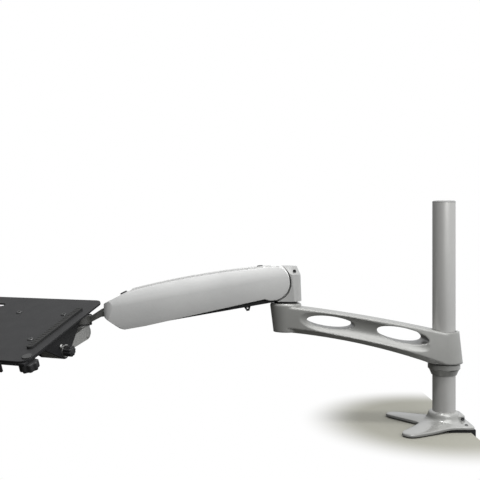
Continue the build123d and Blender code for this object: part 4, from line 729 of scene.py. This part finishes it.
clampSizes = {"x": -4.0, "end": -148.0, "length": 105.0, "pitch": 4.0, "core": 4.1, "crest": 5.0,
              "steps": 40, "seat": 0.2, "tipRadius": 3.5, "tipLength": 6.0, "tipLead": 0.8, "tipRoot": -1.0,
              "knob": {"radius": 20.0, "height": 24.0, "flutes": 6, "depth": 0.2, "cap": 0.55},
              "knobBottom": -151.0}
rubberSizes = {"top": -28.0, "steps": 72, "grooves": 6, "start": 2.0, "pitch": 2.8,
               "groove": [(0.0, 0.0), (0.35, -0.6), (1.05, -0.6), (1.4, 0.0)],
               "rim": [(18.9, -0.05), (19.35, -0.35), (19.5, -0.9), (19.5, -2.0)]}  # radius, level
knobShape = {"fill": 0.98, "square": 0.22, "fluteSteps": 16, "rows": 41, "capHeight": 0.16, "capRise": 0.48,
             "capSquare": 0.35, "capAround": 49, "capRows": 17}


def buildThread():
    size = clampSizes
    thread = runTree("clampThread", threadTree, "steel", Core=size["core"] * mm, Crest=size["crest"] * mm,
                     Length=(size["length"] - size["seat"]) * mm, Pitch=size["pitch"] * mm,
                     Steps=size["steps"])
    radius, length = size["tipRadius"], size["tipLength"]
    tip = lathe("clampTip", [(axisRadius, size["tipRoot"]), (radius, size["tipRoot"]),
                             (radius, length - size["tipLead"]), (radius - size["tipLead"], length),
                             (axisRadius, length)])
    tip.transform(Matrix.Translation((0, 0, size["length"] * mm)))
    mesh = joinMeshes("clampThread", [thread, tip])
    mesh.transform(Matrix.Translation((size["x"] * mm, 0, size["end"] * mm)))
    return mesh


def buildKnob(name, size, place):
    shape = knobShape
    radius, height = size["radius"], size["height"] * shape["fill"]
    grip = runTree(name, gripTree, "black_plastic", Radius=radius * mm, Height=height * mm,
                   Flutes=size["flutes"], Depth=size["depth"], Square=shape["square"],
                   Around=size["flutes"] * shape["fluteSteps"] + 1, Rows=shape["rows"])
    cap = runTree(name + "Cap", gripTree, "black_plastic", Radius=radius * size["cap"] * mm,
                  Height=height * shape["capHeight"] * mm, Flutes=1, Depth=0.0, Square=shape["capSquare"],
                  Around=shape["capAround"], Rows=shape["capRows"])
    cap.transform(Matrix.Translation((0, 0, height * shape["capRise"] * mm)))
    mesh = joinMeshes(name, [grip, cap], softAngle)
    mesh.transform(place)
    return mesh


def buildClampRubber():
    size = rubberSizes
    profile = [(axisRadius, 0.0)]
    for i in range(size["grooves"]):
        start = size["start"] + i * size["pitch"]
        profile += [(start + across, level) for across, level in size["groove"]]
    profile += size["rim"] + [(axisRadius, size["rim"][-1][1])]
    mesh = lathe("clampRubber", [(radius, size["top"] + level) for radius, level in profile], size["steps"])
    mesh.transform(Matrix.Translation((clampSizes["x"] * mm, 0, 0)))
    return mesh


showPiece("clampThread", buildThread(), "clamp_screw", "steel", "clamp_screw")
knobMiddle = (clampSizes["knobBottom"] + clampSizes["knob"]["height"] / 2) * mm
knobPlace = standing((clampSizes["x"] * mm, 0, knobMiddle), (0, 0, -1), (1, 0, 0))
clampKnob = buildKnob("clampKnob", clampSizes["knob"], knobPlace)
showPiece("clampKnob", clampKnob, "clamp_screw", "black_plastic", "clamp_knob")
showPiece("clampRubber", buildClampRubber(), "clamp_pad", "black_rubber", "clamp_rubber")
print("clamp dressed")


# holder: knobs, screws and ribs on the rubber strips, in mm on the tilt joint's own axes

holderSizes = {
    "stopKnob": {"radius": 12.0, "height": 11.0, "flutes": 8, "depth": 0.16, "cap": 0.55},
    "stopKnobSpots": {"right": (23.8, -79.0), "left": (-203.8, -79.0)}, "stopKnobTop": 27.4,
    "tiltKnob": {"radius": 7.5, "height": 11.0, "flutes": 10, "depth": 0.12, "cap": 0.6},
    "tiltKnobFace": 19.0,
    "trayTop": 33.5, "screwX": (-78.6, -3.6), "screwY": (-35.5, 39.5),
    "trayScrew": {"radius": 4.0, "height": 1.5, "socket": 1.5, "depth": 1.1},
    "guardScrew": {"radius": 3.5, "height": 2.2, "socket": 1.5, "depth": 1.4},
    "guardSpot": (17.8, -7.0, 10.0),
}
ribSizes = {"x": (-192.0, 12.0), "start": -54.5, "pitch": 4.7, "count": 24, "top": 37.0, "sink": 0.05,
            "halfLength": 3.3, "halfWidth": 1.1, "height": 0.55, "steps": 8,
            "ends": [(-1.0, 0.35), (-0.93, 0.8), (-0.8, 1.0), (0.8, 1.0), (0.93, 0.8),
                     (1.0, 0.35)]}  # share of the length, share of the section
ribAngle = 60.0


def jointAxis(name):
    return Vector(joints[name]["axis"]).normalized()


holderRight = jointAxis("tilt")
holderRear = jointAxis("stop_slide")
holderUp = holderRight.cross(holderRear)
holder = standing(Vector(joints["tilt"]["pos_m"]), holderUp, holderRight)


def inHolder(x, y, z):
    return holder @ Vector((x * mm, y * mm, z * mm))


def buildRibs():
    size = ribSizes
    turns = [math.pi * i / size["steps"] for i in range(size["steps"] + 1)]
    section = [(math.cos(turn) * size["halfWidth"], math.sin(turn) * size["height"]) for turn in turns]
    rings = []
    for share, shrink in size["ends"]:
        along = size["halfLength"] * share * mm
        rings.append([(along, across * shrink * mm, high * shrink * mm) for across, high in section])
    spots = [inHolder(x, size["start"] + i * size["pitch"], size["top"] - size["sink"])
             for x in size["x"] for i in range(size["count"])]
    rib = ringsToMesh("padRib", rings, ribAngle)
    return setOnPoints("padRibs", rib, spots, holderUp, holderRight, "black_rubber")


for side, (x, y) in holderSizes["stopKnobSpots"].items():
    name = "stopKnob" + side.title()
    centre = inHolder(x, y, holderSizes["stopKnobTop"] - holderSizes["stopKnob"]["height"] / 2)
    mesh = buildKnob(name, holderSizes["stopKnob"], standing(centre, -holderUp, holderRight))
    showPiece(name, mesh, "stop_knob_" + side, "black_plastic", "stop_knob_" + side)

tiltMiddle = inHolder(holderSizes["tiltKnobFace"] + holderSizes["tiltKnob"]["height"] / 2, 0, 0)
tiltKnob = buildKnob("tiltKnob", holderSizes["tiltKnob"], standing(tiltMiddle, holderRight, holderRear))
showPiece("tiltKnob", tiltKnob, "tilt_knob", "black_plastic", "tilt_knob")

trayScrew = socketHead("trayScrew", holderSizes["trayScrew"])
traySpots = [inHolder(x, y, holderSizes["trayTop"])
             for x in holderSizes["screwX"] for y in holderSizes["screwY"]]
trayScrews = setOnPoints("trayScrews", trayScrew, traySpots, holderUp, holderRight, "dark_steel")
showPiece("trayScrews", trayScrews, "tray", "dark_steel", "tray_screws")

guardPieces = []
guardX, guardY, guardZ = holderSizes["guardSpot"]
for hand in (1, -1):
    head = socketHead("guardScrew", holderSizes["guardScrew"])
    spot = inHolder(hand * guardX, guardY, guardZ)
    guardPieces.append(setOnPoints("guardScrews", head, [spot], hand * holderRight, holderUp, "steel"))
showPiece("guardScrews", joinMeshes("guardScrews", guardPieces), "tray", "steel", "guard_screws")
showPiece("padRibs", buildRibs(), "tray", "black_rubber")
print("holder dressed")


# spring arm: adjuster on the crown and the dark plug by the nose

crownSizes = {"adjusterX": -262.8, "adjuster": {"radius": 4.4, "height": 1.5, "socket": 1.6, "depth": 1.1},
              "adjusterSink": 0.1}
plugSizes = {"low": -461.0, "high": -453.0, "halfWidth": 5.0, "round": 1.4,
             "levels": [(0.0, -0.6), (0.0, 1.4), (0.25, 1.95), (0.8, 2.2)]}  # inset, height over the shell


def buildAdjuster():
    spot, normal = surfaceAt(nodes["top_strip"].data, crownSizes["adjusterX"] * mm, 0.0)
    head = socketHead("liftAdjuster", crownSizes["adjuster"])
    sunk = spot - normal * crownSizes["adjusterSink"] * mm
    return setOnPoints("liftAdjuster", head, [sunk], normal, (1, 0, 0), "dark_steel")


def buildPlug():  # small block laid on the shell's slope
    shell = nodes["arm_shell"].data
    lowSpot, highSpot = (surfaceAt(shell, plugSizes[end] * mm, 0.0)[0] for end in ("low", "high"))
    along = (highSpot - lowSpot).normalized()
    reach = (highSpot - lowSpot).length / mm / 2
    rings = []
    for inset, level in plugSizes["levels"]:
        rings.append(roundedRing(-reach + inset, reach - inset, plugSizes["halfWidth"] - inset,
                                 plugSizes["round"], level))
    mesh = ringsToMesh("nosePlug", rings, softAngle)
    mesh.transform(standing((lowSpot + highSpot) / 2, along.cross(Vector((0, 1, 0))), along))
    return mesh


showPiece("liftAdjuster", buildAdjuster(), "upper_arm", "dark_steel")
showPiece("nosePlug", buildPlug(), "upper_arm", "black_plastic")
print("spring arm dressed")


# stage: pale floor that ends at the desk edge, with a painted shadow round the foot, soft light and the camera

# tone is the floor's colour inside the painted shadow round the foot; the centre, start and reach keys place and
# fade that painted shadow
stage = {"edge": 0.0275, "left": -3.0, "near": -3.0, "far": 3.0, "tone": (0.25, 0.245, 0.21),
         "rough": 0.9, "bounce": (0.06, 0.059, 0.054),
         "paintedShadowCentre": (0.0, 0.025), "paintedShadowStart": 0.11, "paintedShadowReach": 0.205}
sky = {"from": (0.5, 0.0, 0.87), "dark": -0.4, "bright": 1.55, "tint": (0.98, 0.99, 1.0)}
lamps = {
    "overhead": {"place": (0.2, -0.3, 1.15), "target": (-0.15, 0, 0.1), "size": (0.7, 0.5), "power": 2.6},
    "key": {"place": (0.15, -0.7, 0.62), "target": (-0.08, 0, 0.15), "size": (0.5, 0.5), "power": 3.2},
    "glint": {"place": (-0.22, -0.36, 1.12), "target": (-0.1, 0, 0.1), "size": (0.2, 0.16), "power": 5.5},
}
cameraSizes = {"place": (-0.2913, -0.9524, 0.266), "lens": 50.0, "sensor": 36.0, "clip": 0.01}


def mixShaders(tree, factor, first, second):
    mixer = addNode(tree, "ShaderNodeMixShader")
    for socket, value in zip(mixer.inputs, (factor, first, second)):
        tree.links.new(value, socket)
    return mixer.outputs[0]


def buildFloorFinish():  # painted shadow round the foot, evenly white further out
    made, tree, surface = newFinish("paleFloor")
    feed(tree, surface, Roughness=stage["rough"], Base_Color=(*stage["tone"], 1))
    centreX, centreY = stage["paintedShadowCentre"]
    shift = feed(tree, addNode(tree, "ShaderNodeMapping"), Vector=objectPlace(tree),
                 Location=(-centreX, -centreY, 0))
    reach = addNode(tree, "ShaderNodeVectorMath", operation="LENGTH")
    tree.links.new(shift.outputs[0], reach.inputs[0])
    # the darker tone near the foot is a painted shadow, fading to the plain white glow by its reach
    paintedShadowFade = feed(tree, addNode(tree, "ShaderNodeMapRange", interpolation_type="SMOOTHSTEP"),
                Value=reach.outputs["Value"], From_Min=stage["paintedShadowStart"], From_Max=stage["paintedShadowReach"])
    glow = addNode(tree, "ShaderNodeEmission")
    shown = mixShaders(tree, paintedShadowFade.outputs[0], surface.outputs[0], glow.outputs[0])
    dim = addNode(tree, "ShaderNodeBsdfDiffuse")  # what the object gets back from the floor
    feed(tree, dim, Color=(*stage["bounce"], 1))
    cameraRay = addNode(tree, "ShaderNodeLightPath").outputs["Is Camera Ray"]
    seen = mixShaders(tree, cameraRay, dim.outputs[0], shown)
    clear = addNode(tree, "ShaderNodeBsdfTransparent")
    backFace = addNode(tree, "ShaderNodeNewGeometry").outputs["Backfacing"]
    whole = mixShaders(tree, backFace, seen, clear.outputs[0])  # clear from underneath
    tree.links.new(whole, tree.nodes["Material Output"].inputs["Surface"])
    return made


def buildFloor():
    mesh = bpy.data.meshes.new("floor")
    corners = [(stage["left"], stage["near"], 0), (stage["edge"], stage["near"], 0),
               (stage["edge"], stage["far"], 0), (stage["left"], stage["far"], 0)]
    mesh.from_pydata(corners, [], [(0, 1, 2, 3)])
    floor = newObject("floor", mesh)
    floor.data.materials.append(buildFloorFinish())


def buildWorld():  # light from above and the right, dark below, and white to the camera
    world = bpy.data.worlds.new("studio")
    world.use_nodes = True
    tree = world.node_tree
    fill = tree.nodes["Background"]
    lean = addNode(tree, "ShaderNodeVectorMath", operation="DOT_PRODUCT")
    tree.links.new(addNode(tree, "ShaderNodeTexCoord").outputs["Generated"], lean.inputs[0])
    lean.inputs[1].default_value = Vector(sky["from"]).normalized()
    rise = feed(tree, addNode(tree, "ShaderNodeMapRange"), Value=lean.outputs["Value"],
                From_Min=sky["dark"], From_Max=1.0, To_Max=sky["bright"])
    feed(tree, fill, Color=(*sky["tint"], 1), Strength=rise.outputs[0])
    white = feed(tree, addNode(tree, "ShaderNodeBackground"), Color=(1, 1, 1, 1), Strength=1.0)
    cameraRay = addNode(tree, "ShaderNodeLightPath").outputs["Is Camera Ray"]
    both = mixShaders(tree, cameraRay, fill.outputs[0], white.outputs[0])
    tree.links.new(both, tree.nodes["World Output"].inputs["Surface"])
    bpy.context.scene.world = world


def buildLamp(name, size):
    lamp = bpy.data.lights.new(name, "AREA")
    lamp.shape = "RECTANGLE"
    lamp.size, lamp.size_y = size["size"]
    lamp.energy = size["power"]
    lampObject = newObject(name, lamp)
    lampObject.location = size["place"]
    lampObject.rotation_mode = "QUATERNION"
    aim = Vector(size["target"]) - Vector(size["place"])
    lampObject.rotation_quaternion = aim.to_track_quat("-Z", "Y")


def buildCamera():  # level, looking along the desk's depth
    lens = bpy.data.cameras.new("camera")
    lens.lens = cameraSizes["lens"]
    lens.sensor_width = cameraSizes["sensor"]
    lens.clip_start = cameraSizes["clip"]
    cameraObject = newObject("camera", lens)
    cameraObject.location = cameraSizes["place"]
    cameraObject.rotation_euler = (math.radians(90), 0, 0)
    bpy.context.scene.camera = cameraObject


buildFloor()
buildWorld()
for name, size in lamps.items():
    buildLamp(name, size)
buildCamera()
bpy.context.scene.view_settings.view_transform = "Standard"
print("stage, light and camera set")
